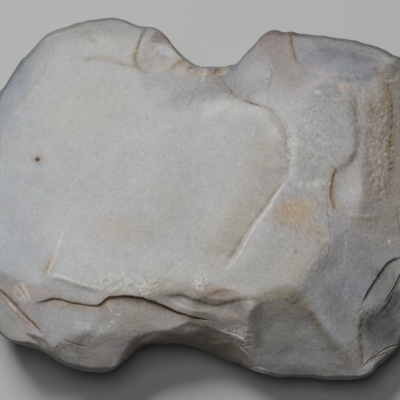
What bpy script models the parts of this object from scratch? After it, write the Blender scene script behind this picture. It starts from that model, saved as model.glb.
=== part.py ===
"""A notched stone hoe of knapped chert, lying on its flatter face.

The bit is at -X, the butt at +X, and +Z is up. The far notch opens to +Y and
the near notch to -Y. The origin is the middle of the footprint, on the ground.
"""

import math
from typing import NamedTuple

import bmesh
import bpy
import numpy as np

# Overall sizes, in metres.
LENGTH = 0.150
WIDTH = 0.120
THICKNESS = 0.031

# Hafting notches: where each is deepest, how far its mouth opens to either
# side of that, its depth, and the straight floor that was ground dull.
FAR_NOTCH_X = 0.0040
FAR_NOTCH_TO_BIT = 0.0205
FAR_NOTCH_TO_BUTT = 0.0202
FAR_NOTCH_DEPTH = 0.0127
FAR_NOTCH_FLOOR = 0.0092
NEAR_NOTCH_X = -0.0125
NEAR_NOTCH_TO_BIT = 0.0195
NEAR_NOTCH_TO_BUTT = 0.0375
NEAR_NOTCH_DEPTH = 0.0087
NEAR_NOTCH_FLOOR = 0.0100
GROUND_OFF = 0.0006

# The edge between the two faces: how thick it stays at least, above and below
# its line, how wide it is worn round, and how softly the ridges are worn.
EDGE_LIP = 0.0012
EDGE_ROUND = 0.0028
RIDGE_WEAR = 0.00010

# A step dies out over this share of its own length at either end.
STEP_FADE = 0.20

# Marginal flaking: how many flakes were struck from each face. Where a notch
# is cut deeper than its wall, its own scars take their place.
NOTCH_WALL = 0.0030
UPPER_FLAKES = 27
UNDER_FLAKES = 15

MESH_LEVEL = 7
TRIANGLES = 8600
UPPER_SHARE = 0.62
SEED = 4

STONE_COLOR = (0.42, 0.41, 0.38, 1.0)
STONE_ROUGHNESS = 0.55

# The plan without its notches, anticlockwise from the butt, as shares of the
# half length and the half width.
BODY_PLAN = (
    (1.00, -0.28), (0.97, 0.33), (0.93, 0.69), (0.82, 0.82), (0.66, 0.88), (0.44, 0.92),
    (0.06, 0.95), (-0.22, 0.95), (-0.39, 1.00), (-0.58, 0.96), (-0.71, 0.88), (-0.87, 0.63),
    (-0.96, 0.38), (-1.00, -0.06), (-0.98, -0.53), (-0.89, -0.75), (-0.69, -0.85),
    (-0.50, -0.96), (-0.09, -0.95), (0.27, -0.98), (0.67, -1.00), (0.81, -0.90), (0.95, -0.68),
)


class Scar(NamedTuple):
    """A flake scar: a shallow bowl that starts at a point and falls away from it.

    x and y are shares of the half length and the half width, z of the thickness.
    The bearing and the pitch are in degrees. The hollow radii along and across
    the fall are shares of the length, and a large one leaves the scar flat.
    """

    x: float
    y: float
    z: float
    bearing: float
    pitch: float
    along: float
    across: float


class Step(NamedTuple):
    """A step where a flake broke off short: the ground drops on one side of a line.

    The points are shares of the half length and the half width. The drop is a
    share of the thickness, and its wall and the reach of the hollow beyond it
    are shares of the length. side is 1 where the left of the run drops, else -1.
    """

    points: tuple
    side: int
    drop: float
    wall: float
    reach: float


UPPER_SCARS = {
    "main face": Scar(-0.36, 0.11, 0.885, 95, 6.5, 90, 90),
    "bit side": Scar(-0.62, -0.28, 0.965, 125, 8.5, 90, 90),
    "central dish": Scar(0.05, 0.06, 0.858, 80, 5.0, 2.2, 1.6),
    "raised strip": Scar(0.27, -0.18, 0.949, 330, 6.5, 90, 2.7),
    "grainy face": Scar(0.33, 0.27, 0.866, 15, 7.0, 90, 4.0),
    "butt slope": Scar(0.77, 0.27, 0.692, 355, 21, 1.07, 2.0),
    "butt thumb scar": Scar(0.66, 0.08, 0.755, 8, 7, 0.09, 0.36),
    "near butt facet": Scar(0.40, -0.51, 0.891, 333, 20, 90, 6.0),
    "near butt corner": Scar(0.692, -0.72, 0.612, 346, 33, 0.28, 0.26),
    "near butt scoop": Scar(0.44, -0.53, 0.887, 274, 30, 1.6, 0.36),
    "near middle scoop": Scar(0.12, -0.55, 0.905, 255, 27, 0.80, 0.17),
    "lens flakes": Scar(-0.07, -0.55, 0.928, 262, 24, 0.80, 0.80),
    "near notch wall": Scar(-0.03, -0.73, 0.675, 272, 49, 0.60, 0.13),
    "near notch bit wall": Scar(-0.24, -0.79, 0.665, 288, 47, 0.60, 0.16),
    "below the hinge": Scar(-0.25, -0.62, 0.878, 284, 25, 0.80, 0.60),
    "near bit facet": Scar(-0.56, -0.65, 0.888, 258, 16, 1.3, 1.3),
    "near bit foot": Scar(-0.50, -0.86, 0.690, 280, 30, 0.80, 1.2),
    "near bit corner": Scar(-0.83, -0.62, 0.825, 226, 22, 1.2, 1.2),
    "bench": Scar(-0.58, -0.50, 0.974, 272, 12, 2.0, 90),
    "far bit slope": Scar(-0.79, 0.63, 0.701, 148, 17, 1.3, 1.3),
    "far bit lobe": Scar(-0.42, 0.88, 0.685, 92, 15, 0.80, 1.3),
    "shell chip": Scar(-0.26, 0.76, 0.742, 42, 16, 0.25, 0.12),
    "far notch facet": Scar(0.19, 0.67, 0.727, 80, 14, 0.60, 0.47),
    "far crease facet": Scar(0.35, 0.78, 0.663, 85, 16, 0.60, 0.40),
    "blue facet": Scar(0.59, 0.77, 0.695, 82, 24, 1.0, 1.3),
}

UPPER_STEPS = {
    "dish shoulder": Step(
        ((-0.02, 0.48), (0.07, 0.52), (0.17, 0.53), (0.27, 0.50), (0.33, 0.43), (0.37, 0.30), (0.37, 0.16)),
        -1, 0.020, 0.016, 0.070),
    "dish wall": Step(((0.37, 0.20), (0.30, -0.03), (0.19, -0.22), (0.10, -0.41)), -1, 0.040, 0.010, 0.070),
    "hinge": Step(
        ((-0.74, -0.57), (-0.63, -0.54), (-0.53, -0.56), (-0.44, -0.58), (-0.39, -0.53), (-0.29, -0.53),
         (-0.21, -0.56), (-0.08, -0.63), (0.04, -0.68)),
        -1, 0.052, 0.010, 0.080),
    "bench flake": Step(((-0.68, -0.42), (-0.58, -0.42), (-0.42, -0.50)), -1, 0.022, 0.010, 0.050),
    "lens lip": Step(
        ((-0.20, -0.51), (-0.08, -0.50), (0.03, -0.55), (0.14, -0.55), (0.25, -0.53)),
        -1, 0.026, 0.010, 0.050),
    "butt step": Step(((0.66, 0.60), (0.67, 0.45), (0.67, 0.27), (0.60, 0.21)), 1, 0.034, 0.014, 0.080),
    "flap": Step(((0.87, -0.32), (0.81, -0.36), (0.76, -0.44), (0.70, -0.58)), 1, 0.040, 0.010, 0.060),
    "flap foot": Step(((0.90, -0.36), (0.85, -0.49), (0.80, -0.60)), 1, 0.030, 0.010, 0.050),
    "far crease": Step(
        ((0.39, 0.93), (0.41, 0.82), (0.42, 0.76), (0.48, 0.72), (0.57, 0.69)),
        1, 0.026, 0.012, 0.060),
    "notch crease": Step(((0.05, 0.70), (0.10, 0.61), (0.17, 0.55), (0.28, 0.50)), 1, 0.028, 0.012, 0.060),
    "corner break": Step(((-0.92, -0.43), (-0.78, -0.60), (-0.69, -0.78)), -1, 0.026, 0.010, 0.060),
}

UNDER_SCARS = {
    "rest": Scar(0.02, -0.03, 0.000, 0, 0.0, 90, 90),
    "bit flake": Scar(-0.30, 0.10, 0.006, 172, 12, 3.0, 2.0),
    "bit far flake": Scar(-0.24, 0.31, 0.020, 133, 18, 2.0, 1.0),
    "bit near flake": Scar(-0.33, -0.22, 0.025, 214, 17, 2.0, 0.8),
    "bit corner flake": Scar(-0.34, -0.44, 0.075, 243, 23, 1.6, 0.9),
    "butt flake": Scar(0.36, -0.06, 0.012, 353, 12, 2.0, 1.2),
    "butt far flake": Scar(0.30, 0.37, 0.035, 48, 20, 1.6, 1.0),
    "butt near flake": Scar(0.42, -0.36, 0.040, 318, 15, 1.6, 0.7),
    "butt heel flake": Scar(0.24, -0.36, 0.020, 284, 16, 1.6, 0.9),
    "far notch flake": Scar(0.07, 0.26, 0.012, 84, 23, 1.6, 0.5),
    "far lobe flake": Scar(-0.14, 0.38, 0.060, 108, 21, 1.6, 0.8),
    "near notch flake": Scar(-0.13, -0.30, 0.012, 264, 24, 1.6, 0.5),
}

UNDER_STEPS = {
    "bit hinge": Step(((-0.72, 0.42), (-0.60, 0.30), (-0.58, 0.12), (-0.66, -0.02)), -1, 0.040, 0.010, 0.090),
    "butt hinge": Step(((0.52, 0.10), (0.60, -0.04), (0.60, -0.22)), -1, 0.034, 0.010, 0.070),
    "far hinge": Step(((-0.18, 0.62), (-0.02, 0.56), (0.14, 0.58)), 1, 0.040, 0.010, 0.060),
}


def smooth(t: np.ndarray) -> np.ndarray:
    """Ease from 0 to 1, flat at both ends."""
    t = np.clip(t, 0.0, 1.0)
    return t * t * (3.0 - 2.0 * t)


def curve_through(points: np.ndarray, closed: bool, per_span: int) -> np.ndarray:
    """Return a Catmull-Rom curve through the points."""
    if closed:
        ring = np.vstack([points[-1:], points, points[:2]])
    else:
        ring = np.vstack([2.0 * points[:1] - points[1:2], points, 2.0 * points[-1:] - points[-2:-1]])
    t = (np.arange(per_span) / per_span)[:, None]
    spans = []
    for a, b, c, d in zip(ring, ring[1:], ring[2:], ring[3:]):
        bend = (2.0 * a - 5.0 * b + 4.0 * c - d) * t ** 2 + (3.0 * b - a - 3.0 * c + d) * t ** 3
        spans.append(0.5 * (2.0 * b + (c - a) * t + bend))
    if not closed:
        spans.append(points[-1:])
    return np.vstack(spans)


def notch_cut(x: np.ndarray, centre: float, to_bit: float, to_butt: float, floor: float) -> np.ndarray:
    """Return how much of a notch's depth is cut at each x, from 0 to 1."""
    away = np.abs(x - centre)
    mouth = np.where(x < centre, to_bit, to_butt)
    return 1.0 - smooth((away - floor / 2.0) / (mouth - floor / 2.0))


def far_cut(x: np.ndarray) -> np.ndarray:
    """Return how deep the far notch is at each x, in metres."""
    share = notch_cut(x, FAR_NOTCH_X, FAR_NOTCH_TO_BIT, FAR_NOTCH_TO_BUTT, FAR_NOTCH_FLOOR)
    return FAR_NOTCH_DEPTH * share


def near_cut(x: np.ndarray) -> np.ndarray:
    """Return how deep the near notch is at each x, in metres."""
    share = notch_cut(x, NEAR_NOTCH_X, NEAR_NOTCH_TO_BIT, NEAR_NOTCH_TO_BUTT, NEAR_NOTCH_FLOOR)
    return NEAR_NOTCH_DEPTH * share


def plan_outline() -> tuple[np.ndarray, np.ndarray]:
    """Return the plan as bearings and radii round the origin, notches cut."""
    plan = curve_through(np.array(BODY_PLAN), closed=True, per_span=24)
    low, high = plan.min(axis=0), plan.max(axis=0)
    plan = (plan - (low + high) / 2.0) / (high - low) * np.array([LENGTH, WIDTH])
    far_side = plan[:, 1] > 0.0
    plan[:, 1] -= np.where(far_side, far_cut(plan[:, 0]), -near_cut(plan[:, 0]))
    bearing = np.unwrap(np.arctan2(plan[:, 1], plan[:, 0]))
    return bearing, np.hypot(plan[:, 0], plan[:, 1])


def radius_at(bearing: np.ndarray) -> np.ndarray:
    """Return the plan's radius at each bearing."""
    known, radius = plan_outline()
    turned = np.mod(bearing - known[0], math.tau) + known[0]
    return np.interp(turned, np.append(known, known[0] + math.tau), np.append(radius, radius[0]))


def scar_depth(scar: Scar, x: np.ndarray, y: np.ndarray) -> np.ndarray:
    """Return how far a scar's surface lies below its starting height."""
    turn = math.radians(scar.bearing)
    dx = x - scar.x * LENGTH / 2.0
    dy = y - scar.y * WIDTH / 2.0
    along = dx * math.cos(turn) + dy * math.sin(turn)
    across = dy * math.cos(turn) - dx * math.sin(turn)
    hollow = along ** 2 / (2.0 * scar.along * LENGTH) + across ** 2 / (2.0 * scar.across * LENGTH)
    return math.tan(math.radians(scar.pitch)) * along - hollow


def soft_least(heights: list) -> np.ndarray:
    """Return the least of several heights, with the ridges between them worn."""
    stack = np.array(heights)
    least = stack.min(axis=0)
    return least - RIDGE_WEAR * np.log(np.exp((least - stack) / RIDGE_WEAR).sum(axis=0))


def upper_scars(x: np.ndarray, y: np.ndarray) -> list:
    """Return the height of each large scar of the upper face."""
    return [scar.z * THICKNESS - scar_depth(scar, x, y) for scar in UPPER_SCARS.values()]


def under_scars(x: np.ndarray, y: np.ndarray) -> list:
    """Return how far each large scar of the underside lies below the ground, seen from underneath."""
    return [-scar.z * THICKNESS - scar_depth(scar, x, y) for scar in UNDER_SCARS.values()]


def edge_height(bearing: np.ndarray) -> np.ndarray:
    """Return the height of the edge, midway between the scars that meet there."""
    radius = radius_at(bearing)
    x, y = radius * np.cos(bearing), radius * np.sin(bearing)
    return (soft_least(upper_scars(x, y)) - soft_least(under_scars(x, y))) / 2.0


def marginal_scars(rng: np.random.Generator, count: int, lift: tuple, pitch: tuple) -> list:
    """Return the flakes struck round the edge: place, way in, lift, slope and hollow."""
    flakes = []
    for index in range(count):
        bearing = math.tau * (index + rng.uniform(-0.3, 0.3)) / count
        ends = bearing + np.array([-0.05, 0.0, 0.05])
        radius = radius_at(ends)
        rim = np.stack([radius * np.cos(ends), radius * np.sin(ends)], axis=1)
        way = math.atan2(*(rim[2] - rim[0])[::-1]) + math.pi / 2.0 + math.radians(rng.uniform(-14.0, 14.0))
        notch = far_cut(rim[1, 0]) if rim[1, 1] > 0.0 else near_cut(rim[1, 0])
        if notch > NOTCH_WALL:
            continue
        start = float(edge_height(np.array([bearing]))[0])
        slope = math.tan(math.radians(rng.uniform(*pitch)))
        flakes.append((rim[1], way, start, rng.uniform(*lift), slope, rng.uniform(0.012, 0.030)))
    return flakes


def marginal_rise(flake: tuple, x: np.ndarray, y: np.ndarray) -> np.ndarray:
    """Return how far a marginal scar's surface rises from the edge."""
    rim, way, _, lift, slope, hollow = flake
    dx, dy = x - rim[0], y - rim[1]
    inward = np.maximum(dx * math.cos(way) + dy * math.sin(way), 0.0)
    sideways = dy * math.cos(way) - dx * math.sin(way)
    return lift + slope * inward + sideways ** 2 / (2.0 * hollow)


def line_field(points: tuple, x: np.ndarray, y: np.ndarray, reach: float) -> tuple:
    """Return the points near a line, their distance and side, and how far its ends have died out there."""
    line = curve_through(np.array(points), closed=False, per_span=8) * [LENGTH / 2.0, WIDTH / 2.0]
    near = (x > line[:, 0].min() - reach) & (x < line[:, 0].max() + reach)
    near &= (y > line[:, 1].min() - reach) & (y < line[:, 1].max() + reach)
    px, py = x[near], y[near]
    runs = np.hypot(*np.diff(line, axis=0).T)
    before = np.append(0.0, np.cumsum(runs))
    distance = np.full(px.shape, np.inf)
    side = np.zeros(px.shape)
    share = np.zeros(px.shape)
    for start, end, run, passed in zip(line, line[1:], runs, before):
        way = (end - start) / run
        dx, dy = px - start[0], py - start[1]
        along = np.clip(dx * way[0] + dy * way[1], 0.0, run)
        gap = np.hypot(dx - along * way[0], dy - along * way[1])
        closer = gap < distance
        distance = np.where(closer, gap, distance)
        side = np.where(closer, np.sign(way[0] * dy - way[1] * dx), side)
        share = np.where(closer, (passed + along) / before[-1], share)
    return near, distance, side, smooth(share / STEP_FADE) * smooth((1.0 - share) / STEP_FADE)


def cut_step(step: Step, x: np.ndarray, y: np.ndarray, height: np.ndarray) -> None:
    """Lower the heights on the dropped side of a step."""
    reach = step.reach * LENGTH
    near, distance, side, ends = line_field(step.points, x, y, reach)
    fall = smooth(distance / (step.wall * LENGTH)) * smooth(1.0 - distance / reach)
    height[near] -= step.drop * THICKNESS * ends * np.where(side * step.side > 0.0, fall, 0.0)


def upper_height(x: np.ndarray, y: np.ndarray) -> np.ndarray:
    """Return the height of the upper face before its edge is worn round."""
    heights = upper_scars(x, y)
    rng = np.random.default_rng(SEED)
    for flake in marginal_scars(rng, UPPER_FLAKES, (0.0022, 0.0046), (38.0, 55.0)):
        heights.append(flake[2] + marginal_rise(flake, x, y))
    height = soft_least(heights)
    for step in UPPER_STEPS.values():
        cut_step(step, x, y, height)
    return height


def under_height(x: np.ndarray, y: np.ndarray) -> np.ndarray:
    """Return the height of the underside before its edge is worn round."""
    heights = under_scars(x, y)
    rng = np.random.default_rng(SEED + 1)
    for flake in marginal_scars(rng, UNDER_FLAKES, (0.0006, 0.0022), (27.0, 38.0)):
        heights.append(marginal_rise(flake, x, y) - flake[2])
    height = soft_least(heights)
    for step in UNDER_STEPS.values():
        cut_step(step, x, y, height)
    return -height


def face_share(rise: np.ndarray) -> tuple[np.ndarray, np.ndarray]:
    """Return which points of a unit ball belong to the upper face, and how far out each lies.

    The upper face takes more than half of the ball, so it gets the finer mesh.
    """
    equator = 1.0 - 2.0 * UPPER_SHARE
    upper = rise >= equator
    span = np.where(upper, 1.0 - rise, 1.0 + rise) / np.where(upper, 1.0 - equator, 1.0 + equator)
    return upper, np.sqrt(np.clip(span, 0.0, 1.0))


def form_stone(ball: np.ndarray) -> np.ndarray:
    """Carry the points of a unit ball onto the stone's surface."""
    upper, share = face_share(ball[:, 2])
    bearing = np.arctan2(ball[:, 1], ball[:, 0])
    radius = radius_at(bearing)
    x = share * radius * np.cos(bearing)
    y = share * radius * np.sin(bearing)
    edge = edge_height(bearing)
    above = -soft_least([-upper_height(x, y), -edge - EDGE_LIP])
    below = soft_least([under_height(x, y), edge - EDGE_LIP])
    inner = np.where(upper, above, below)
    inward = np.clip((1.0 - share) * radius / EDGE_ROUND, 0.0, 1.0)
    worn = np.sqrt(1.0 - (1.0 - inward) ** 2)
    return np.stack([x, y, edge + (inner - edge) * worn], axis=1)


def stone_material() -> bpy.types.Material:
    """Return the pale chert's material."""
    material = bpy.data.materials.new("pale chert")
    material.use_nodes = True
    shader = material.node_tree.nodes["Principled BSDF"]
    shader.inputs["Base Color"].default_value = STONE_COLOR
    shader.inputs["Roughness"].default_value = STONE_ROUGHNESS
    shader.inputs["Metallic"].default_value = 0.0
    return material


def add_cutter(name: str, low: tuple, high: tuple) -> bpy.types.Object:
    """Return a box between two corners that is only used to cut."""
    mesh = bpy.data.meshes.new(name)
    box = bmesh.new()
    bmesh.ops.create_cube(box, size=1.0)
    low, high = np.array(low), np.array(high)
    bmesh.ops.scale(box, vec=high - low, verts=box.verts)
    bmesh.ops.translate(box, vec=(low + high) / 2.0, verts=box.verts)
    box.to_mesh(mesh)
    box.free()
    cutter = bpy.data.objects.new(name, mesh)
    cutter.hide_render = True
    cutter.display_type = "WIRE"
    bpy.context.collection.objects.link(cutter)
    return cutter


def notch_seat(side: int) -> float:
    """Return the y of the face ground on a notch's floor, on the far side (1) or the near side (-1)."""
    centre, floor = (FAR_NOTCH_X, FAR_NOTCH_FLOOR) if side > 0 else (NEAR_NOTCH_X, NEAR_NOTCH_FLOOR)
    bearing, radius = plan_outline()
    x, y = radius * np.cos(bearing), radius * np.sin(bearing)
    on_floor = (np.abs(x - centre) <= floor / 2.0) & (y * side > 0.0)
    return side * (np.abs(y[on_floor]).min() - GROUND_OFF)


def add_cutters() -> list:
    """Return the boxes that grind the two notch floors flat."""
    far, near = notch_seat(1), notch_seat(-1)
    half_far, half_near = FAR_NOTCH_FLOOR / 2.0, NEAR_NOTCH_FLOOR / 2.0
    return [
        add_cutter("cut far seat", (FAR_NOTCH_X - half_far, far, -THICKNESS),
                   (FAR_NOTCH_X + half_far, far + WIDTH, 2.0 * THICKNESS)),
        add_cutter("cut near seat", (NEAR_NOTCH_X - half_near, near - WIDTH, -THICKNESS),
                   (NEAR_NOTCH_X + half_near, near, 2.0 * THICKNESS)),
    ]


def build_stone() -> bpy.types.Object:
    """Return the whole stone, with its modifiers."""
    shape = bmesh.new()
    bmesh.ops.create_icosphere(shape, subdivisions=MESH_LEVEL, radius=1.0)
    ball = np.array([vert.co for vert in shape.verts])
    for vert, place in zip(shape.verts, form_stone(ball / np.linalg.norm(ball, axis=1)[:, None])):
        vert.co = place
    mesh = bpy.data.meshes.new("stone_hoe")
    full = len(shape.faces)
    shape.to_mesh(mesh)
    shape.free()
    mesh.materials.append(stone_material())
    mesh.shade_smooth()
    stone = bpy.data.objects.new("stone_hoe", mesh)
    bpy.context.collection.objects.link(stone)
    for cutter in add_cutters():
        cut = stone.modifiers.new(cutter.name, "BOOLEAN")
        cut.operation = "DIFFERENCE"
        cut.solver = "EXACT"
        cut.object = cutter
    coarsen = stone.modifiers.new("facets", "DECIMATE")
    coarsen.ratio = TRIANGLES / full
    return stone


def main() -> None:
    """Clear the scene and model the stone."""
    for item in list(bpy.data.objects):
        bpy.data.objects.remove(item, do_unlink=True)
    build_stone()


main()
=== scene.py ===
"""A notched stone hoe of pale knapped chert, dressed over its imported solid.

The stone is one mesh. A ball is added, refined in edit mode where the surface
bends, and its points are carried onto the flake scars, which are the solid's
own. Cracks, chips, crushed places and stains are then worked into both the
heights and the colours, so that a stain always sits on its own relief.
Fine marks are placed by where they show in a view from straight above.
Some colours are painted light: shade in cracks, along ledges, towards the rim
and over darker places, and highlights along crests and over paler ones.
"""

import itertools
import logging
import math
from dataclasses import dataclass, field
from enum import Enum

import bpy
import numpy as np
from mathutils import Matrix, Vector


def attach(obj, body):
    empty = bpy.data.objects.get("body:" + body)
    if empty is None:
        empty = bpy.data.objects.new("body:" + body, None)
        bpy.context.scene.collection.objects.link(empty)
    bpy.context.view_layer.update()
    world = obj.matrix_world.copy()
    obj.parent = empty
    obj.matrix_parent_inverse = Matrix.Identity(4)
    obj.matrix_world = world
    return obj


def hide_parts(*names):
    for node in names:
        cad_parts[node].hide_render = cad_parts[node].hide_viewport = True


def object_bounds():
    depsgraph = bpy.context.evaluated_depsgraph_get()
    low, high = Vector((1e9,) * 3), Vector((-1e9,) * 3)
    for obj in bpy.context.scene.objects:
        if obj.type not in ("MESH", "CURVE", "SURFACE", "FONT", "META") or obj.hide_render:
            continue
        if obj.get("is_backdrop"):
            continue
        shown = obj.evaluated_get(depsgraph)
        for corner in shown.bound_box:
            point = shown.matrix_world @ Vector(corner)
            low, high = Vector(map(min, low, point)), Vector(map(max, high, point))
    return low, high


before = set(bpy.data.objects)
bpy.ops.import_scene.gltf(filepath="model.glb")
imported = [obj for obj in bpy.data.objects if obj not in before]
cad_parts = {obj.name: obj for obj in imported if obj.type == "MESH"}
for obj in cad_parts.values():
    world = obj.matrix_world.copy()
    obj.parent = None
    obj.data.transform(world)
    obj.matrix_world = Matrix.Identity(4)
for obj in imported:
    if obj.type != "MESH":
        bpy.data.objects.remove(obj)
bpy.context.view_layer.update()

LOG = logging.getLogger("stone_hoe")
Socket = bpy.types.NodeSocket

MILLIMETRE = 0.001

# The view from above: metres to a pixel at the stone, and the pixel over the origin.
PIXEL = 0.3304 * MILLIMETRE
ORIGIN_PIXEL = (201.0, 199.25)

# A stain shorter than this, in millimetres, gets a finer mesh.
SMALL_STAIN = 1.2

# The share of its length over which each kind of line dies away at either end.
CRACK_END = 0.16
RIDGE_END = 0.15
BAND_END = 0.12

# The numbers that mix a cell's place into a value, for the noise.
MIX_STEPS = (73856093, 19349663, 83492791)
MIX_MASK = 0x7FFFFFFF
MIX_FACTOR = 1103515245
MIX_SHIFT = 12345
SEED_STEP = 31.7

# Colours of the chert and of what has got into it, and of the painted shade and
# painted highlight laid over it, as linear albedo.
CHERT = (0.46, 0.458, 0.452)
# Painted shade: the near-black inside of cracks and creases.
CRACK_SHADE = (0.060, 0.042, 0.028)
TAN = (0.34, 0.26, 0.17)
OLIVE = (0.27, 0.23, 0.15)
BROWN = (0.19, 0.135, 0.085)
OCHRE = (0.44, 0.295, 0.13)
RUST = (0.30, 0.185, 0.095)
SAND = (0.455, 0.405, 0.315)
PUTTY = (0.448, 0.441, 0.385)
MILK = (0.468, 0.492, 0.530)
PEACH = (0.58, 0.40, 0.29)
PINK = (0.50, 0.38, 0.33)
# The pale cream of crushed places and worn crests, also painted over places as highlight.
CREAM_AND_HIGHLIGHT = (0.77, 0.73, 0.64)
WHITE = (0.80, 0.80, 0.80)
BLUE = (0.40, 0.42, 0.47)
ICE = (0.345, 0.372, 0.420)
BLUSH = (0.60, 0.50, 0.43)
STEEL = (0.175, 0.178, 0.210)
# A grey painted over places, ledge walls and rims as shade.
GREY_SHADE = (0.245, 0.240, 0.230)
MAUVE = (0.300, 0.268, 0.262)
# A near-black: one real dark spot, and elsewhere painted shade over places that lie in shade.
DARK_SPOT_AND_SHADE = (0.022, 0.018, 0.015)
FROST = (0.66, 0.69, 0.80)
MOSS = (0.21, 0.185, 0.125)


class Side(Enum):
    """Which side of a line lies lower, for someone who walks along it."""

    LEFT = 1.0
    RIGHT = -1.0


def smooth(t: np.ndarray) -> np.ndarray:
    """Ease from 0 to 1, flat at both ends."""
    t = np.clip(t, 0.0, 1.0)
    return t * t * (3.0 - 2.0 * t)


def taper(share: np.ndarray, end: float) -> np.ndarray:
    """Die away at both ends of a line, over a share of its length."""
    return smooth(share / end) * smooth((1.0 - share) / end)


def polar(radius: np.ndarray, bearing: np.ndarray) -> np.ndarray:
    """Return the places at some radii and bearings, a row of x and y for each."""
    return np.stack([radius * np.cos(bearing), radius * np.sin(bearing)], axis=1)


def along_and_across(off: np.ndarray, bearing: float) -> tuple:
    """Return how far places lie along a bearing in radians, and how far to its left."""
    return off @ [math.cos(bearing), math.sin(bearing)], off @ [-math.sin(bearing), math.cos(bearing)]


def seen(points: tuple) -> np.ndarray:
    """Turn places in the view from above into metres.

    Args:
        points: Pixel pairs, as they show in the view from above.

    Returns:
        One row of x and y for each place.
    """
    pixels = np.array(points, dtype=float).reshape(-1, 2)
    return (pixels - ORIGIN_PIXEL) * [PIXEL, -PIXEL]


def cloud(points: np.ndarray, size: float, seed: int) -> np.ndarray:
    """Return smooth noise at points.

    Args:
        points: One row of coordinates for each point.
        size: Width of one bump, in metres.
        seed: Which noise to take.

    Returns:
        A value from -1 to 1 for each point.
    """
    cell = points / size + SEED_STEP * seed
    base = np.floor(cell).astype(np.int64)
    part = cell - base
    ease = part * part * part * (part * (6.0 * part - 15.0) + 10.0)
    total = np.zeros(len(points))
    for corner in itertools.product((0, 1), repeat=points.shape[1]):
        at = (base + corner) * np.array(MIX_STEPS[: points.shape[1]])
        mixed = np.bitwise_xor.reduce(at, axis=1) & MIX_MASK
        for _ in range(2):
            mixed = (mixed * MIX_FACTOR + MIX_SHIFT) & MIX_MASK
            mixed = mixed ^ (mixed >> 13)
        value = mixed / (MIX_MASK // 2) - 1.0
        total += value * np.where(corner, ease, 1.0 - ease).prod(axis=1)
    return total


def clouds(points: np.ndarray, size: float, layers: int, seed: int) -> np.ndarray:
    """Return noise of several sizes, each half of the one before."""
    total = np.zeros(len(points))
    for layer in range(layers):
        total += cloud(points, size / 2 ** layer, seed + layer) / 2 ** layer
    return total / (2.0 - 2.0 ** (1 - layers))


def curve_through(points: np.ndarray, closed: bool, per_span: int) -> np.ndarray:
    """Return a smooth curve through points.

    Args:
        points: One row for each point.
        closed: Whether the curve comes back to its start.
        per_span: How many points to make for each given one.

    Returns:
        One row for each point of the curve.
    """
    if closed:
        ring = np.vstack([points[-1:], points, points[:2]])
    else:
        ring = np.vstack([2.0 * points[:1] - points[1:2], points, 2.0 * points[-1:] - points[-2:-1]])
    t = (np.arange(per_span) / per_span)[:, None]
    spans = []
    for a, b, c, d in zip(ring, ring[1:], ring[2:], ring[3:]):
        bend = (2.0 * a - 5.0 * b + 4.0 * c - d) * t ** 2 + (3.0 * b - a - 3.0 * c + d) * t ** 3
        spans.append(0.5 * (2.0 * b + (c - a) * t + bend))
    if not closed:
        spans.append(points[-1:])
    return np.vstack(spans)


@dataclass
class Sheet:
    """One face of the stone as loose points, on which scars and marks work.

    The place is the one that the marks are looked up at. It wanders a little
    from the true one, so that no border runs as straight as it was drawn.
    """

    place: np.ndarray
    height: np.ndarray
    tone: np.ndarray
    grain: np.ndarray
    stroke: np.ndarray
    need: np.ndarray
    fleck: np.ndarray
    glint: np.ndarray

    def near_line(self, points: tuple, reach: float) -> tuple:
        """Measure the points that lie near a line.

        Args:
            points: The line, in pixels of the view from above.
            reach: How far from the line to look, in metres.

        Returns:
            The indices of the points near it, and for each its distance, the
            side that it lies on, and its share of the way along.
        """
        line = curve_through(seen(points), closed=False, per_span=6)
        low, high = line.min(axis=0) - reach, line.max(axis=0) + reach
        near = np.flatnonzero(((self.place > low) & (self.place < high)).all(axis=1))
        at = self.place[near]
        runs = np.hypot(*np.diff(line, axis=0).T)
        before = np.append(0.0, np.cumsum(runs))
        distance = np.full(len(near), np.inf)
        side = np.zeros(len(near))
        share = np.zeros(len(near))
        for start, end, run, passed in zip(line, line[1:], runs, before):
            way = (end - start) / run
            off = at - start
            along = np.clip(off @ way, 0.0, run)
            gap = np.hypot(*(off - along[:, None] * way).T)
            closer = gap < distance
            distance = np.where(closer, gap, distance)
            side = np.where(closer, np.sign(way[0] * off[:, 1] - way[1] * off[:, 0]), side)
            share = np.where(closer, (passed + along) / before[-1], share)
        kept = distance < reach
        return near[kept], distance[kept], side[kept], share[kept]

    def paint(self, near: np.ndarray, strength: np.ndarray, colour: tuple) -> None:
        """Bring the tone of some points towards a colour."""
        strength = np.clip(strength, 0.0, 1.0)[:, None]
        self.tone[near] += strength * (np.array(colour) - self.tone[near])

    def soak(self, near: np.ndarray, cover: np.ndarray, mark: "Band | Stain") -> None:
        """Colour some points with a mark that the flecks break up.

        Args:
            near: The indices of the points.
            cover: How much of the mark each takes, from 0 to 1.
            mark: The band or stain.
        """
        cover = cover * np.clip(1.0 + mark.broken * 1.5 * self.fleck[near], 0.0, 2.0)
        self.paint(near, mark.strength * cover, mark.colour)
        self.grain[near] += mark.grain * np.minimum(cover, 1.0)

    def want(self, near: np.ndarray, need: np.ndarray | float) -> None:
        """Ask for a finer mesh at some points."""
        self.need[near] = np.maximum(self.need[near], need)


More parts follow.
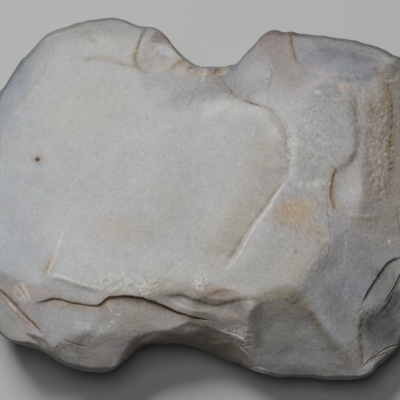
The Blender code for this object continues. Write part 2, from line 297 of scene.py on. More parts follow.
@dataclass(frozen=True)
class Crack:
    """A narrow crack, open at its middle and closing towards its ends, with painted shade down it."""

    points: tuple
    width: float
    depth: float
    colour: tuple = CRACK_SHADE
    strength: float = 0.9
    halo: float = 3.0
    halo_strength: float = 0.25

    def work(self, sheet: Sheet) -> None:
        """Cut the crack into a sheet and paint it in its colour, painted shade unless another is given."""
        width, halo = self.width * MILLIMETRE, self.width * self.halo * MILLIMETRE
        near, distance, _, share = sheet.near_line(self.points, max(halo, width) + MILLIMETRE)
        ends = taper(share, CRACK_END)
        open_by = np.maximum(width * (0.55 + 0.45 * ends) * (1.0 + 0.5 * sheet.fleck[near]), 1e-6)
        cut = np.clip(1.0 - distance / open_by, 0.0, 1.0) * ends
        sheet.height[near] -= self.depth * MILLIMETRE * cut
        sheet.paint(near, self.halo_strength * ends * smooth(1.0 - distance / halo), TAN)
        # Painted shade down the crack, unless it is given a colour of its own.
        sheet.paint(near, self.strength * smooth(1.6 * cut), self.colour)
        sheet.want(near, distance < width + 0.5 * MILLIMETRE)


@dataclass(frozen=True)
class Ledge:
    """A step where a flake broke off short, with the hollow that it left, and painted shade at the foot of
    its wall.
    """

    points: tuple
    side: Side
    drop: float
    wall: float
    reach: float
    shade: float = 0.0
    colour: tuple = TAN
    fade: float = 0.20

    def work(self, sheet: Sheet) -> None:
        """Lower a sheet on one side of the ledge."""
        reach, wall = self.reach * MILLIMETRE, self.wall * MILLIMETRE
        near, distance, side, share = sheet.near_line(self.points, reach)
        ends = taper(share, self.fade)
        low = side * self.side.value > 0.0
        fall = smooth(distance / (wall * (1.0 + 0.35 * sheet.fleck[near]))) * smooth(1.0 - distance / reach)
        sheet.height[near] -= self.drop * MILLIMETRE * ends * np.where(low, fall, 0.0)
        # Painted shade on the low side, at the foot of the wall.
        tint = np.where(low, smooth(1.0 - distance / (wall + 0.9 * MILLIMETRE)), 0.0)
        sheet.paint(near, self.shade * ends * tint, self.colour)
        close = low & (distance < wall + 0.3 * MILLIMETRE) & (ends > 0.15)
        sheet.want(near, 0.6 * close)


@dataclass(frozen=True)
class Ridge:
    """A raised crest along a line, paler than the stone beside it, partly from wear and partly as a painted
    highlight where the light catches it.
    """

    points: tuple
    width: float
    rise: float
    strength: float = 0.4
    colour: tuple = CREAM_AND_HIGHLIGHT
    broken: float = 0.5

    def work(self, sheet: Sheet) -> None:
        """Raise the crest on a sheet."""
        width = self.width * MILLIMETRE
        near, distance, _, share = sheet.near_line(self.points, 3.0 * width)
        ends = taper(share, RIDGE_END)
        crest = np.exp(-(distance / width) ** 2) * ends
        sheet.height[near] += self.rise * MILLIMETRE * crest
        # Painted highlight along the crest, partly the pale of wear.
        sheet.paint(near, self.strength * crest * (1.0 + self.broken * sheet.fleck[near]), self.colour)
        sheet.want(near, 0.4 * (crest > 0.3))


@dataclass(frozen=True)
class Band:
    """A patch of colour that follows a line; some are stains, some painted shade, some painted highlight."""

    points: tuple
    width: float
    colour: tuple
    strength: float
    broken: float = 0.6
    grain: float = 0.0

    def work(self, sheet: Sheet) -> None:
        """Colour a sheet along the line."""
        width = self.width * MILLIMETRE
        near, distance, _, share = sheet.near_line(self.points, width)
        sheet.soak(near, smooth(1.0 - distance / width) * taper(share, BAND_END), self)


@dataclass(frozen=True)
class Oval:
    """What fills an oval: its middle, half length and half width, and bearing in degrees."""

    spot: tuple
    long: float
    wide: float
    turn: float

    def inside(self, sheet: Sheet) -> tuple:
        """Measure the points that lie in the oval.

        Args:
            sheet: The face to look on.

        Returns:
            The indices of the points in it, their shares of the way out, and
            their places along it in half lengths.
        """
        long, wide = self.long * MILLIMETRE, self.wide * MILLIMETRE
        off = sheet.place - seen(self.spot)[0]
        near = np.flatnonzero(np.abs(off).max(axis=1) < max(long, wide))
        along, across = along_and_across(off[near], math.radians(self.turn))
        out = np.hypot(along / long, across / wide)
        kept = out < 1.0
        return near[kept], out[kept], along[kept] / long


@dataclass(frozen=True)
class Stain(Oval):
    """An oval patch of colour with a broken border."""

    colour: tuple
    strength: float
    soft: float = 1.0
    broken: float = 0.6
    grain: float = 0.0

    def work(self, sheet: Sheet) -> None:
        """Colour a sheet inside the patch."""
        near, out, _ = self.inside(sheet)
        sheet.soak(near, smooth((1.0 - out) / self.soft), self)
        if self.long < SMALL_STAIN:
            sheet.want(near, 0.8)


@dataclass(frozen=True)
class Chip(Oval):
    """A small flake scar: a shallow bowl, deepest near the end that it starts from."""

    depth: float
    colour: tuple = CHERT
    strength: float = 0.0
    rim: float = 0.25

    def work(self, sheet: Sheet) -> None:
        """Scoop the chip out of a sheet."""
        near, out, along = self.inside(sheet)
        bowl = smooth((1.0 - out) / self.rim) * (0.55 + 0.45 * (1.0 - out * out)) * (1.0 - 0.35 * along)
        sheet.height[near] -= self.depth * MILLIMETRE * bowl
        sheet.paint(near, self.strength * smooth((1.0 - out) / 0.3), self.colour)
        sheet.want(near, 0.3)


@dataclass(frozen=True)
class Crush(Oval):
    """A bruised place, pitted and paler, with coarse grain."""

    depth: float
    grain: float
    colour: tuple = WHITE
    strength: float = 0.0
    glint: float = 0.0

    def work(self, sheet: Sheet) -> None:
        """Pit the place on a sheet."""
        near, out, _ = self.inside(sheet)
        cover = smooth((1.0 - out) / 0.5)
        pits = clouds(sheet.place[near], 1.0 * MILLIMETRE, 3, 71)
        sheet.height[near] += self.depth * MILLIMETRE * cover * np.minimum(pits, 0.35)
        sheet.grain[near] += self.grain * cover
        sheet.glint[near] += self.glint * cover
        sheet.paint(near, self.strength * cover * np.clip(0.5 + 1.6 * pits, 0.0, 1.5), self.colour)
        sheet.want(near, 0.35 * (cover > 0.2))


@dataclass(frozen=True)
class Scar:
    """A large flake scar: a shallow bowl that starts at a point and falls away.

    The place is in shares of the half length and half width, the height of
    the thickness. The bearing and pitch are in degrees, the hollow radii
    along and across the fall in shares of the length. The tone multiplies the
    chert's own colour, ripple is the height of its rings in millimetres,
    grain says how coarse its skin is, and stroke how scratched.
    """

    x: float
    y: float
    z: float
    bearing: float
    pitch: float
    along: float
    across: float
    tone: tuple = (1.0, 1.0, 1.0)
    ripple: float = 0.0
    grain: float = 0.0
    stroke: float = 0.0


@dataclass
class Outline:
    """The plan of the stone with its two hafting notches, in metres."""

    length: float = 0.150
    width: float = 0.120
    far_x: float = 0.0040
    far_mouth: tuple = (0.0205, 0.0202)
    far_depth: float = 0.0127
    far_floor: float = 0.0092
    near_x: float = -0.0125
    near_mouth: tuple = (0.0195, 0.0375)
    near_depth: float = 0.0087
    near_floor: float = 0.0100
    ground_off: float = 0.0006
    body: tuple = (
        (1.00, -0.28), (0.97, 0.33), (0.93, 0.69), (0.82, 0.82), (0.66, 0.88), (0.44, 0.92),
        (0.06, 0.95), (-0.22, 0.95), (-0.39, 1.00), (-0.58, 0.96), (-0.71, 0.88), (-0.87, 0.63),
        (-0.96, 0.38), (-1.00, -0.06), (-0.98, -0.53), (-0.89, -0.75), (-0.69, -0.85),
        (-0.50, -0.96), (-0.09, -0.95), (0.27, -0.98), (0.67, -1.00), (0.81, -0.90), (0.95, -0.68),
    )
    bearing: np.ndarray = field(init=False)
    reach: np.ndarray = field(init=False)

    def __post_init__(self) -> None:
        """Work out the plan as bearings and radii round the origin."""
        plan = curve_through(np.array(self.body), closed=True, per_span=24)
        low, high = plan.min(axis=0), plan.max(axis=0)
        plan = (plan - (low + high) / 2.0) / (high - low) * np.array([self.length, self.width])
        far_side = plan[:, 1] > 0.0
        plan[:, 1] -= np.where(far_side, self.far_cut(plan[:, 0]), -self.near_cut(plan[:, 0]))
        self.bearing = np.unwrap(np.arctan2(plan[:, 1], plan[:, 0]))
        self.reach = np.hypot(plan[:, 0], plan[:, 1])

    @staticmethod
    def bell(x: np.ndarray, centre: float, mouth: tuple, floor: float) -> np.ndarray:
        """Return how much of a notch is cut at each x, from 0 to 1."""
        away = np.abs(x - centre)
        half = np.where(x < centre, *mouth)
        return 1.0 - smooth((away - floor / 2.0) / (half - floor / 2.0))

    def far_cut(self, x: np.ndarray) -> np.ndarray:
        """Return how deep the far notch is at each x."""
        return self.far_depth * self.bell(x, self.far_x, self.far_mouth, self.far_floor)

    def near_cut(self, x: np.ndarray) -> np.ndarray:
        """Return how deep the near notch is at each x."""
        return self.near_depth * self.bell(x, self.near_x, self.near_mouth, self.near_floor)

    def radius(self, bearing: np.ndarray) -> np.ndarray:
        """Return the plan's radius at each bearing."""
        start = self.bearing[0]
        turned = np.mod(bearing - start, math.tau) + start
        bearings, reaches = np.append(self.bearing, start + math.tau), np.append(self.reach, self.reach[0])
        return np.interp(turned, bearings, reaches)

    def seat(self, side: int) -> tuple:
        """Find the face that was ground on a notch's floor.

        Args:
            side: 1 for the far notch, -1 for the near one.

        Returns:
            The face's y, the middle of the floor and half its length.
        """
        centre, floor = (self.far_x, self.far_floor) if side > 0 else (self.near_x, self.near_floor)
        x, y = self.reach * np.cos(self.bearing), self.reach * np.sin(self.bearing)
        on_floor = (np.abs(x - centre) <= floor / 2.0) & (y * side > 0.0)
        return side * (np.abs(y[on_floor]).min() - self.ground_off), centre, floor / 2.0


@dataclass
class Faces:
    """The two faces of the stone, as large flake scars and marginal flaking.

    Each margin says how many small flakes are struck round it, and the least
    and most of their rise in metres and of their pitch in degrees.
    """

    outline: Outline
    thickness: float = 0.031
    edge_lip: float = 0.0012
    edge_round: float = 0.0028
    ridge_wear: float = 0.00020
    tone_wear: float = 2.0
    notch_wall: float = 0.0030
    ripple_start: float = 0.030
    ripple_length: float = 0.0016
    ripple_waver: float = 1.3
    seed: int = 4
    upper_margin: tuple = (27, (0.0022, 0.0046), (38.0, 55.0))
    under_margin: tuple = (15, (0.0006, 0.0022), (27.0, 38.0))
    upper: dict = field(default_factory=lambda: {
        "main face": Scar(-0.36, 0.11, 0.885, 95, 6.5, 90, 90),
        "bit side": Scar(-0.62, -0.28, 0.965, 125, 8.5, 90, 90, tone=(0.80, 0.84, 0.895)),
        "central dish": Scar(0.05, 0.06, 0.858, 80, 5.0, 2.2, 1.6, tone=(1.02, 1.015, 1.0)),
        "raised strip": Scar(0.27, -0.18, 0.949, 330, 6.5, 90, 2.7, tone=(1.01, 0.965, 0.865), grain=0.15),
        "grainy face": Scar(0.33, 0.27, 0.866, 15, 7.0, 90, 4.0, tone=(0.735, 0.725, 0.71), grain=0.50,
                            stroke=1.0),
        "butt slope": Scar(0.77, 0.27, 0.692, 355, 21, 1.07, 2.0, tone=(0.605, 0.54, 0.495), grain=0.6),
        "butt thumb scar": Scar(0.66, 0.08, 0.755, 8, 7, 0.09, 0.36, tone=(0.84, 0.755, 0.685)),
        "near butt facet": Scar(0.40, -0.51, 0.891, 333, 20, 90, 6.0, tone=(0.77, 0.78, 0.81), grain=0.35),
        "near butt corner": Scar(0.692, -0.72, 0.612, 346, 33, 0.28, 0.26, tone=(0.52, 0.525, 0.535),
                                 grain=0.35),
        "near butt scoop": Scar(0.44, -0.53, 0.887, 274, 30, 1.6, 0.36, tone=(0.72, 0.71, 0.70),
                                ripple=0.012),
        "near middle scoop": Scar(0.12, -0.55, 0.905, 255, 27, 0.80, 0.17, tone=(0.45, 0.42, 0.405),
                                  grain=0.2),
        "lens flakes": Scar(-0.07, -0.55, 0.928, 262, 24, 0.80, 0.80, tone=(0.86, 0.80, 0.72)),
        "near notch wall": Scar(-0.03, -0.73, 0.675, 272, 49, 0.60, 0.13, tone=(0.66, 0.58, 0.49), grain=0.3),
        "near notch bit wall": Scar(-0.24, -0.79, 0.665, 288, 47, 0.60, 0.16, tone=(0.60, 0.53, 0.46),
                                    grain=0.3),
        "below the hinge": Scar(-0.25, -0.62, 0.878, 284, 25, 0.80, 0.60, tone=(0.78, 0.76, 0.775)),
        "near bit facet": Scar(-0.56, -0.65, 0.888, 258, 16, 1.3, 1.3, tone=(0.83, 0.83, 0.835),
                               ripple=0.006),
        "near bit foot": Scar(-0.50, -0.86, 0.690, 280, 30, 0.80, 1.2, tone=(0.80, 0.77, 0.735), grain=0.2),
        "near bit corner": Scar(-0.83, -0.62, 0.825, 226, 22, 1.2, 1.2, tone=(0.70, 0.695, 0.69)),
        "bench": Scar(-0.58, -0.50, 0.974, 272, 12, 2.0, 90, tone=(1.12, 1.06, 1.04)),
        "far bit slope": Scar(-0.79, 0.63, 0.701, 148, 17, 1.3, 1.3, tone=(0.40, 0.465, 0.545)),
        "far bit lobe": Scar(-0.42, 0.88, 0.685, 92, 15, 0.80, 1.3, tone=(0.65, 0.655, 0.65)),
        "shell chip": Scar(-0.26, 0.76, 0.742, 42, 16, 0.25, 0.12, tone=(0.385, 0.345, 0.325)),
        "far notch facet": Scar(0.19, 0.67, 0.727, 80, 14, 0.60, 0.47, tone=(0.58, 0.58, 0.61)),
        "far crease facet": Scar(0.35, 0.78, 0.663, 85, 16, 0.60, 0.40, tone=(0.50, 0.415, 0.38), grain=0.2),
        "blue facet": Scar(0.59, 0.77, 0.695, 82, 24, 1.0, 1.3, tone=(0.325, 0.325, 0.385)),
    })
    under: dict = field(default_factory=lambda: {
        "rest": Scar(0.02, -0.03, 0.000, 0, 0.0, 90, 90, tone=(0.96, 0.95, 0.93)),
        "bit flake": Scar(-0.30, 0.10, 0.006, 172, 12, 3.0, 2.0, tone=(0.97, 0.97, 0.96), ripple=0.03),
        "bit far flake": Scar(-0.24, 0.31, 0.020, 133, 18, 2.0, 1.0, tone=(0.92, 0.93, 0.94)),
        "bit near flake": Scar(-0.33, -0.22, 0.025, 214, 17, 2.0, 0.8, tone=(0.93, 0.92, 0.90), ripple=0.03),
        "bit corner flake": Scar(-0.34, -0.44, 0.075, 243, 23, 1.6, 0.9, tone=(0.90, 0.89, 0.87)),
        "butt flake": Scar(0.36, -0.06, 0.012, 353, 12, 2.0, 1.2, tone=(0.90, 0.87, 0.82), grain=0.3),
        "butt far flake": Scar(0.30, 0.37, 0.035, 48, 20, 1.6, 1.0, tone=(0.86, 0.86, 0.88)),
        "butt near flake": Scar(0.42, -0.36, 0.040, 318, 15, 1.6, 0.7, tone=(0.86, 0.83, 0.78), grain=0.3),
        "butt heel flake": Scar(0.24, -0.36, 0.020, 284, 16, 1.6, 0.9, tone=(0.93, 0.91, 0.88), ripple=0.03),
        "far notch flake": Scar(0.07, 0.26, 0.012, 84, 23, 1.6, 0.5, tone=(0.90, 0.89, 0.87)),
        "far lobe flake": Scar(-0.14, 0.38, 0.060, 108, 21, 1.6, 0.8, tone=(0.95, 0.94, 0.93)),
        "near notch flake": Scar(-0.13, -0.30, 0.012, 264, 24, 1.6, 0.5, tone=(0.88, 0.86, 0.83)),
    })

    def depth(self, scar: Scar, place: np.ndarray) -> np.ndarray:
        """Return how far a scar's surface lies below its starting height."""
        off = place - [scar.x * self.outline.length / 2.0, scar.y * self.outline.width / 2.0]
        along, across = along_and_across(off, math.radians(scar.bearing))
        long, wide = scar.along * self.outline.length, scar.across * self.outline.length
        slope = math.tan(math.radians(scar.pitch))
        return slope * along - along ** 2 / (2.0 * long) - across ** 2 / (2.0 * wide)

    def soft_least(self, heights: list) -> np.ndarray:
        """Return the least of several heights, with the ridges between them worn."""
        stack = np.array(heights)
        least = stack.min(axis=0)
        return least - self.ridge_wear * np.log(np.exp((least - stack) / self.ridge_wear).sum(axis=0))

    def scars(self, side: int, place: np.ndarray) -> list:
        """Return the height of each large scar, the underside's as seen from underneath."""
        table = self.upper if side > 0 else self.under
        return [side * scar.z * self.thickness - self.depth(scar, place) for scar in table.values()]

    def edge(self, bearing: np.ndarray) -> np.ndarray:
        """Return the height of the edge, midway between the scars that meet there."""
        place = polar(self.outline.radius(bearing), bearing)
        return (self.soft_least(self.scars(1, place)) - self.soft_least(self.scars(-1, place))) / 2.0

    def margin(self, side: int, place: np.ndarray) -> list:
        """Return the heights of the small flakes struck round the edge.

        Args:
            side: 1 for the upper face, -1 for the underside.
            place: Where to measure.

        Returns:
            One array of heights for each flake.
        """
        rng = np.random.default_rng(self.seed if side > 0 else self.seed + 1)
        count, lift, pitch = self.upper_margin if side > 0 else self.under_margin
        heights = []
        for index in range(count):
            bearing = math.tau * (index + rng.uniform(-0.3, 0.3)) / count
            ends = bearing + np.array([-0.05, 0.0, 0.05])
            rim = polar(self.outline.radius(ends), ends)
            tangent = math.atan2(*(rim[2] - rim[0])[::-1])
            way = tangent + math.pi / 2.0 + math.radians(rng.uniform(-14.0, 14.0))
            cut = self.outline.far_cut if rim[1, 1] > 0.0 else self.outline.near_cut
            if cut(rim[1, 0]) > self.notch_wall:
                continue
            start = float(self.edge(np.array([bearing]))[0])
            slope = math.tan(math.radians(rng.uniform(*pitch)))
            rise, hollow = rng.uniform(*lift), rng.uniform(0.012, 0.030)
            inward, sideways = along_and_across(place - rim[1], way)
            fall = slope * np.maximum(inward, 0.0)
            heights.append(side * start + rise + fall + sideways ** 2 / (2.0 * hollow))
        return heights

    def lay(self, side: int, place: np.ndarray, solid: np.ndarray, fleck: np.ndarray) -> Sheet:
        """Lay out one face with its scars, before its marks.

        Args:
            side: 1 for the upper face, -1 for the underside.
            place: Where each point lies on the plan.
            solid: Where each point lies, roughly, in three dimensions.
            fleck: Noise from -1 to 1 for each point.

        Returns:
            The sheet, with its heights and the colour and grain of its scars.
        """
        table = self.upper if side > 0 else self.under
        large = np.array(self.scars(side, place))
        share = np.exp((large.min(axis=0) - large) / (self.tone_wear * self.ridge_wear))
        share /= share.sum(axis=0)
        height = self.soft_least([*large, *self.margin(side, place)])
        tones = np.array([scar.tone for scar in table.values()])
        grains = np.array([scar.grain for scar in table.values()])
        strokes = np.array([scar.stroke for scar in table.values()])
        for scar, own in zip(table.values(), share):
            if scar.ripple:
                turn = math.radians(scar.bearing)
                start = np.array([scar.x * self.outline.length, scar.y * self.outline.width]) / 2.0
                centre = start + self.ripple_start * np.array([math.cos(turn), math.sin(turn)])
                rings = np.hypot(*(place - centre).T) / self.ripple_length
                ring = rings + self.ripple_waver * cloud(solid, 9.0 * MILLIMETRE, 41)
                height = height + scar.ripple * MILLIMETRE * own * np.sin(math.tau * ring)
        return Sheet(place, height, np.array(CHERT) * (share.T @ tones), share.T @ grains,
                     share.T @ strokes, np.zeros(len(place)), fleck, np.zeros(len(place)))


@dataclass
class UpperMarks:
    """Everything finer than a flake scar on the face that is looked at."""

    ledges: tuple = (
        Ledge(((172, 117), (204, 109), (228, 105), (248, 106), (264, 113), (276, 125)), Side.LEFT, 0.90, 5.0,
              14.0, fade=0.38),
        Ledge(((258, 108), (274, 119), (284, 140), (287, 162), (284, 184)), Side.RIGHT, 0.85, 1.8, 9.0,
              shade=0.40, fade=0.35),
        Ledge(((287, 160), (286, 181), (270, 205), (247, 239), (226, 273)), Side.RIGHT, 1.15, 0.9, 11.5,
              shade=0.45, colour=OLIVE, fade=0.14),
        Ledge(((32, 303), (45, 299), (58, 298), (76, 301), (96, 304), (103, 301), (112, 295), (127, 294),
               (141, 296), (153, 300), (171, 309), (189, 315),
               (209, 319)), Side.RIGHT, 0.50, 0.45, 12.0, shade=0.12, fade=0.10),
        Ledge(((95, 304), (103, 301), (112, 295), (127, 294), (141, 296), (153, 300), (171, 309), (189, 315)),
              Side.RIGHT, 0.55, 0.40, 8.0, shade=0.10, fade=0.22),
        Ledge(((45, 277), (60, 276), (80, 282), (104, 291)), Side.RIGHT, 0.35, 1.8, 8.0, shade=0.10),
        Ledge(((158, 293), (180, 293), (198, 297), (214, 302), (232, 298), (258, 296)), Side.RIGHT, 0.34, 1.2,
              7.5, shade=0.35, colour=OLIVE),
        Ledge(((345, 88), (350, 108), (352, 130), (351, 148), (344, 161), (333, 169)), Side.LEFT, 0.70, 3.0,
              12.0, shade=0.25),
        Ledge(((340, 164), (331, 172), (329, 188), (331, 202), (336, 213), (350, 217), (376, 217)), Side.LEFT,
              0.60, 1.0, 6.0, shade=0.45, colour=OLIVE, fade=0.14),
        Ledge(((404, 254), (387, 263), (372, 282), (360, 306)), Side.LEFT, 0.55, 0.6, 9.0, shade=0.30,
              colour=GREY_SHADE),
        Ledge(((404, 266), (395, 285), (386, 304), (378, 314)), Side.LEFT, 0.45, 0.6, 7.0, shade=0.30,
              colour=GREY_SHADE),
        Ledge(((287, 28), (290, 40), (292, 53), (294, 62), (300, 67), (313, 71), (335, 76)), Side.LEFT, 0.65,
              0.9, 8.0, shade=0.50, colour=OLIVE, fade=0.14),
        Ledge(((213, 73), (224, 88), (240, 101), (265, 110)), Side.LEFT, 0.60, 1.0, 9.0, shade=0.22),
        Ledge(((-8, 278), (12, 296), (26, 312), (36, 322), (47, 337)), Side.RIGHT, 0.75, 0.7, 9.0,
              shade=0.25),
        Ledge(((310, 32), (318, 36), (342, 45), (370, 52), (392, 62)), Side.RIGHT, 0.4, 1.0, 6.0, shade=0.2,
              colour=GREY_SHADE),
        Ledge(((359, 311), (357, 330), (359, 350), (361, 371)), Side.LEFT, 0.6, 1.4, 8.0, shade=0.3,
              colour=BROWN),
        Ledge(((147, 24), (138, 44), (134, 60), (139, 71), (151, 75), (165, 70)), Side.LEFT, 0.60, 0.8, 9.0,
              shade=0.45, colour=OLIVE),
        Ledge(((152, 40), (162, 45), (176, 49)), Side.LEFT, 0.40, 0.5, 5.0, shade=0.45, colour=MAUVE,
              fade=0.1),
    )
    chips: tuple = (
        Chip((140, 66), 2.6, 1.5, 30, 0.20, TAN, 0.15, rim=0.6),
        Chip((181, 68), 3.0, 2.2, 30, 0.45, PINK, 0.45, rim=0.4),
        Chip((197, 72), 4.2, 1.7, -8, 0.42, PINK, 0.35, rim=0.4),
        Chip((221, 72), 2.8, 1.4, 25, 0.35, SAND, 0.70),
        Chip((190, 303), 9.0, 2.2, -14, 0.24, CREAM_AND_HIGHLIGHT, 0.28, rim=0.5),
        Chip((226, 293), 7.0, 1.9, 4, 0.15, PINK, 0.16, rim=0.5),
        Chip((259, 371), 3.6, 1.7, -14, 0.20, FROST, 0.95),
        Chip((96, 38), 3.5, 1.3, -30, 0.20, TAN, 0.10),
        Chip((330, 94), 5.5, 2.6, 170, 0.20, CHERT, 0.0),
        Chip((384, 74), 3.0, 5.0, 80, 0.35, BROWN, 0.15),
    )
    crushes: tuple = (
        Crush((240, 336), 7.5, 4.4, -40, 0.14, 0.7, WHITE, 0.12, glint=0.20),
        Crush((208, 341), 9.0, 2.6, -8, 0.30, 0.5, BROWN, 0.25),
        Crush((116, 311), 3.0, 1.1, -30, 0.08, 0.2, WHITE, 0.15, glint=1.6),
        Crush((112, 322), 3.0, 1.0, 60, 0.08, 0.2, WHITE, 0.10, glint=1.6),
        Crush((102, 331), 2.2, 0.9, 10, 0.08, 0.2, WHITE, 0.10, glint=1.4),
        Crush((126, 282), 16.0, 3.8, -3, 0.07, 0.5, CREAM_AND_HIGHLIGHT, 1.00, glint=0.3),
        Crush((146, 289), 5.5, 2.6, -8, 0.16, 0.5, CREAM_AND_HIGHLIGHT, 0.90, glint=0.5),
        Crush((158, 286), 5.0, 2.4, 30, 0.16, 0.5, OCHRE, 0.45),
        Crush((200, 280), 3.4, 3.1, 0, -0.45, 0.2, CREAM_AND_HIGHLIGHT, 0.70),
        Crush((255, 105), 4.6, 0.8, -16, 0.20, 0.4, CRACK_SHADE, 0.55),
        Crush((269, 78), 1.2, 9.0, 0, 0.20, 0.4, WHITE, 0.15),
        Crush((379, 150), 24.0, 6.4, 88, 0.22, 0.8, BROWN, 0.46, glint=0.14),
        Crush((289, 152), 10.0, 1.4, 92, 0.10, 0.6, WHITE, 0.32, glint=0.25),
        Crush((320, 240), 2.3, 7.6, 12, 0.16, 0.7, OLIVE, 0.45),
        Crush((310, 264), 2.2, 7.5, -38, 0.12, 0.7, WHITE, 0.10),
        Crush((308, 132), 14.0, 8.0, -62, 0.08, 0.35, WHITE, 0.14, glint=0.20),
        Crush((22, 296), 3.6, 1.6, -50, 0.25, 0.4, CREAM_AND_HIGHLIGHT, 0.30),
        Crush((365, 310), 4.5, 2.2, 20, 0.25, 0.5, DARK_SPOT_AND_SHADE, 0.25),
        Crush((150, 345), 9.0, 2.2, 25, 0.20, 0.4, BROWN, 0.22),
    )
    ridges: tuple = (
        Ridge(((288, 179), (275, 195), (253, 229), (227, 271)), 0.22, 0.07, 0.80, WHITE, 0.9),
        Ridge(((66, 226), (62, 240), (56, 258), (50, 276)), 0.26, 0.03, 0.75, WHITE, 0.9),
        Ridge(((52, 276), (62, 275), (78, 280), (95, 286), (108, 291)), 0.40, 0.08, 0.95, CREAM_AND_HIGHLIGHT),
        Ridge(((205, 69), (204, 76), (202, 84)), 0.40, 0.10, 0.55, CREAM_AND_HIGHLIGHT),
        Ridge(((23, 281), (29, 292), (32, 302)), 0.55, 0.20, 0.85, CREAM_AND_HIGHLIGHT),
        Ridge(((17, 284), (24, 293), (29, 303)), 0.34, 0.14, 0.70, CREAM_AND_HIGHLIGHT),
        Ridge(((10, 301), (16, 307), (19, 312)), 0.40, 0.10, 0.50, CREAM_AND_HIGHLIGHT),
        Ridge(((9, 124), (26, 105), (49, 77), (55, 54)), 0.60, 0.02, 0.08, CREAM_AND_HIGHLIGHT),
        Ridge(((208, 292), (222, 286), (236, 290), (246, 295)), 0.40, 0.08, 0.45, PEACH),
        Ridge(((241, 360), (252, 367), (263, 373)), 0.40, 0.0, 0.35, WHITE),
        Ridge(((236, 343), (246, 352), (252, 360)), 0.35, 0.08, 0.40, WHITE, 1.0),
        Ridge(((344, 232), (345, 250), (343, 268)), 0.34, 0.04, 0.16, WHITE, 1.0),
    )
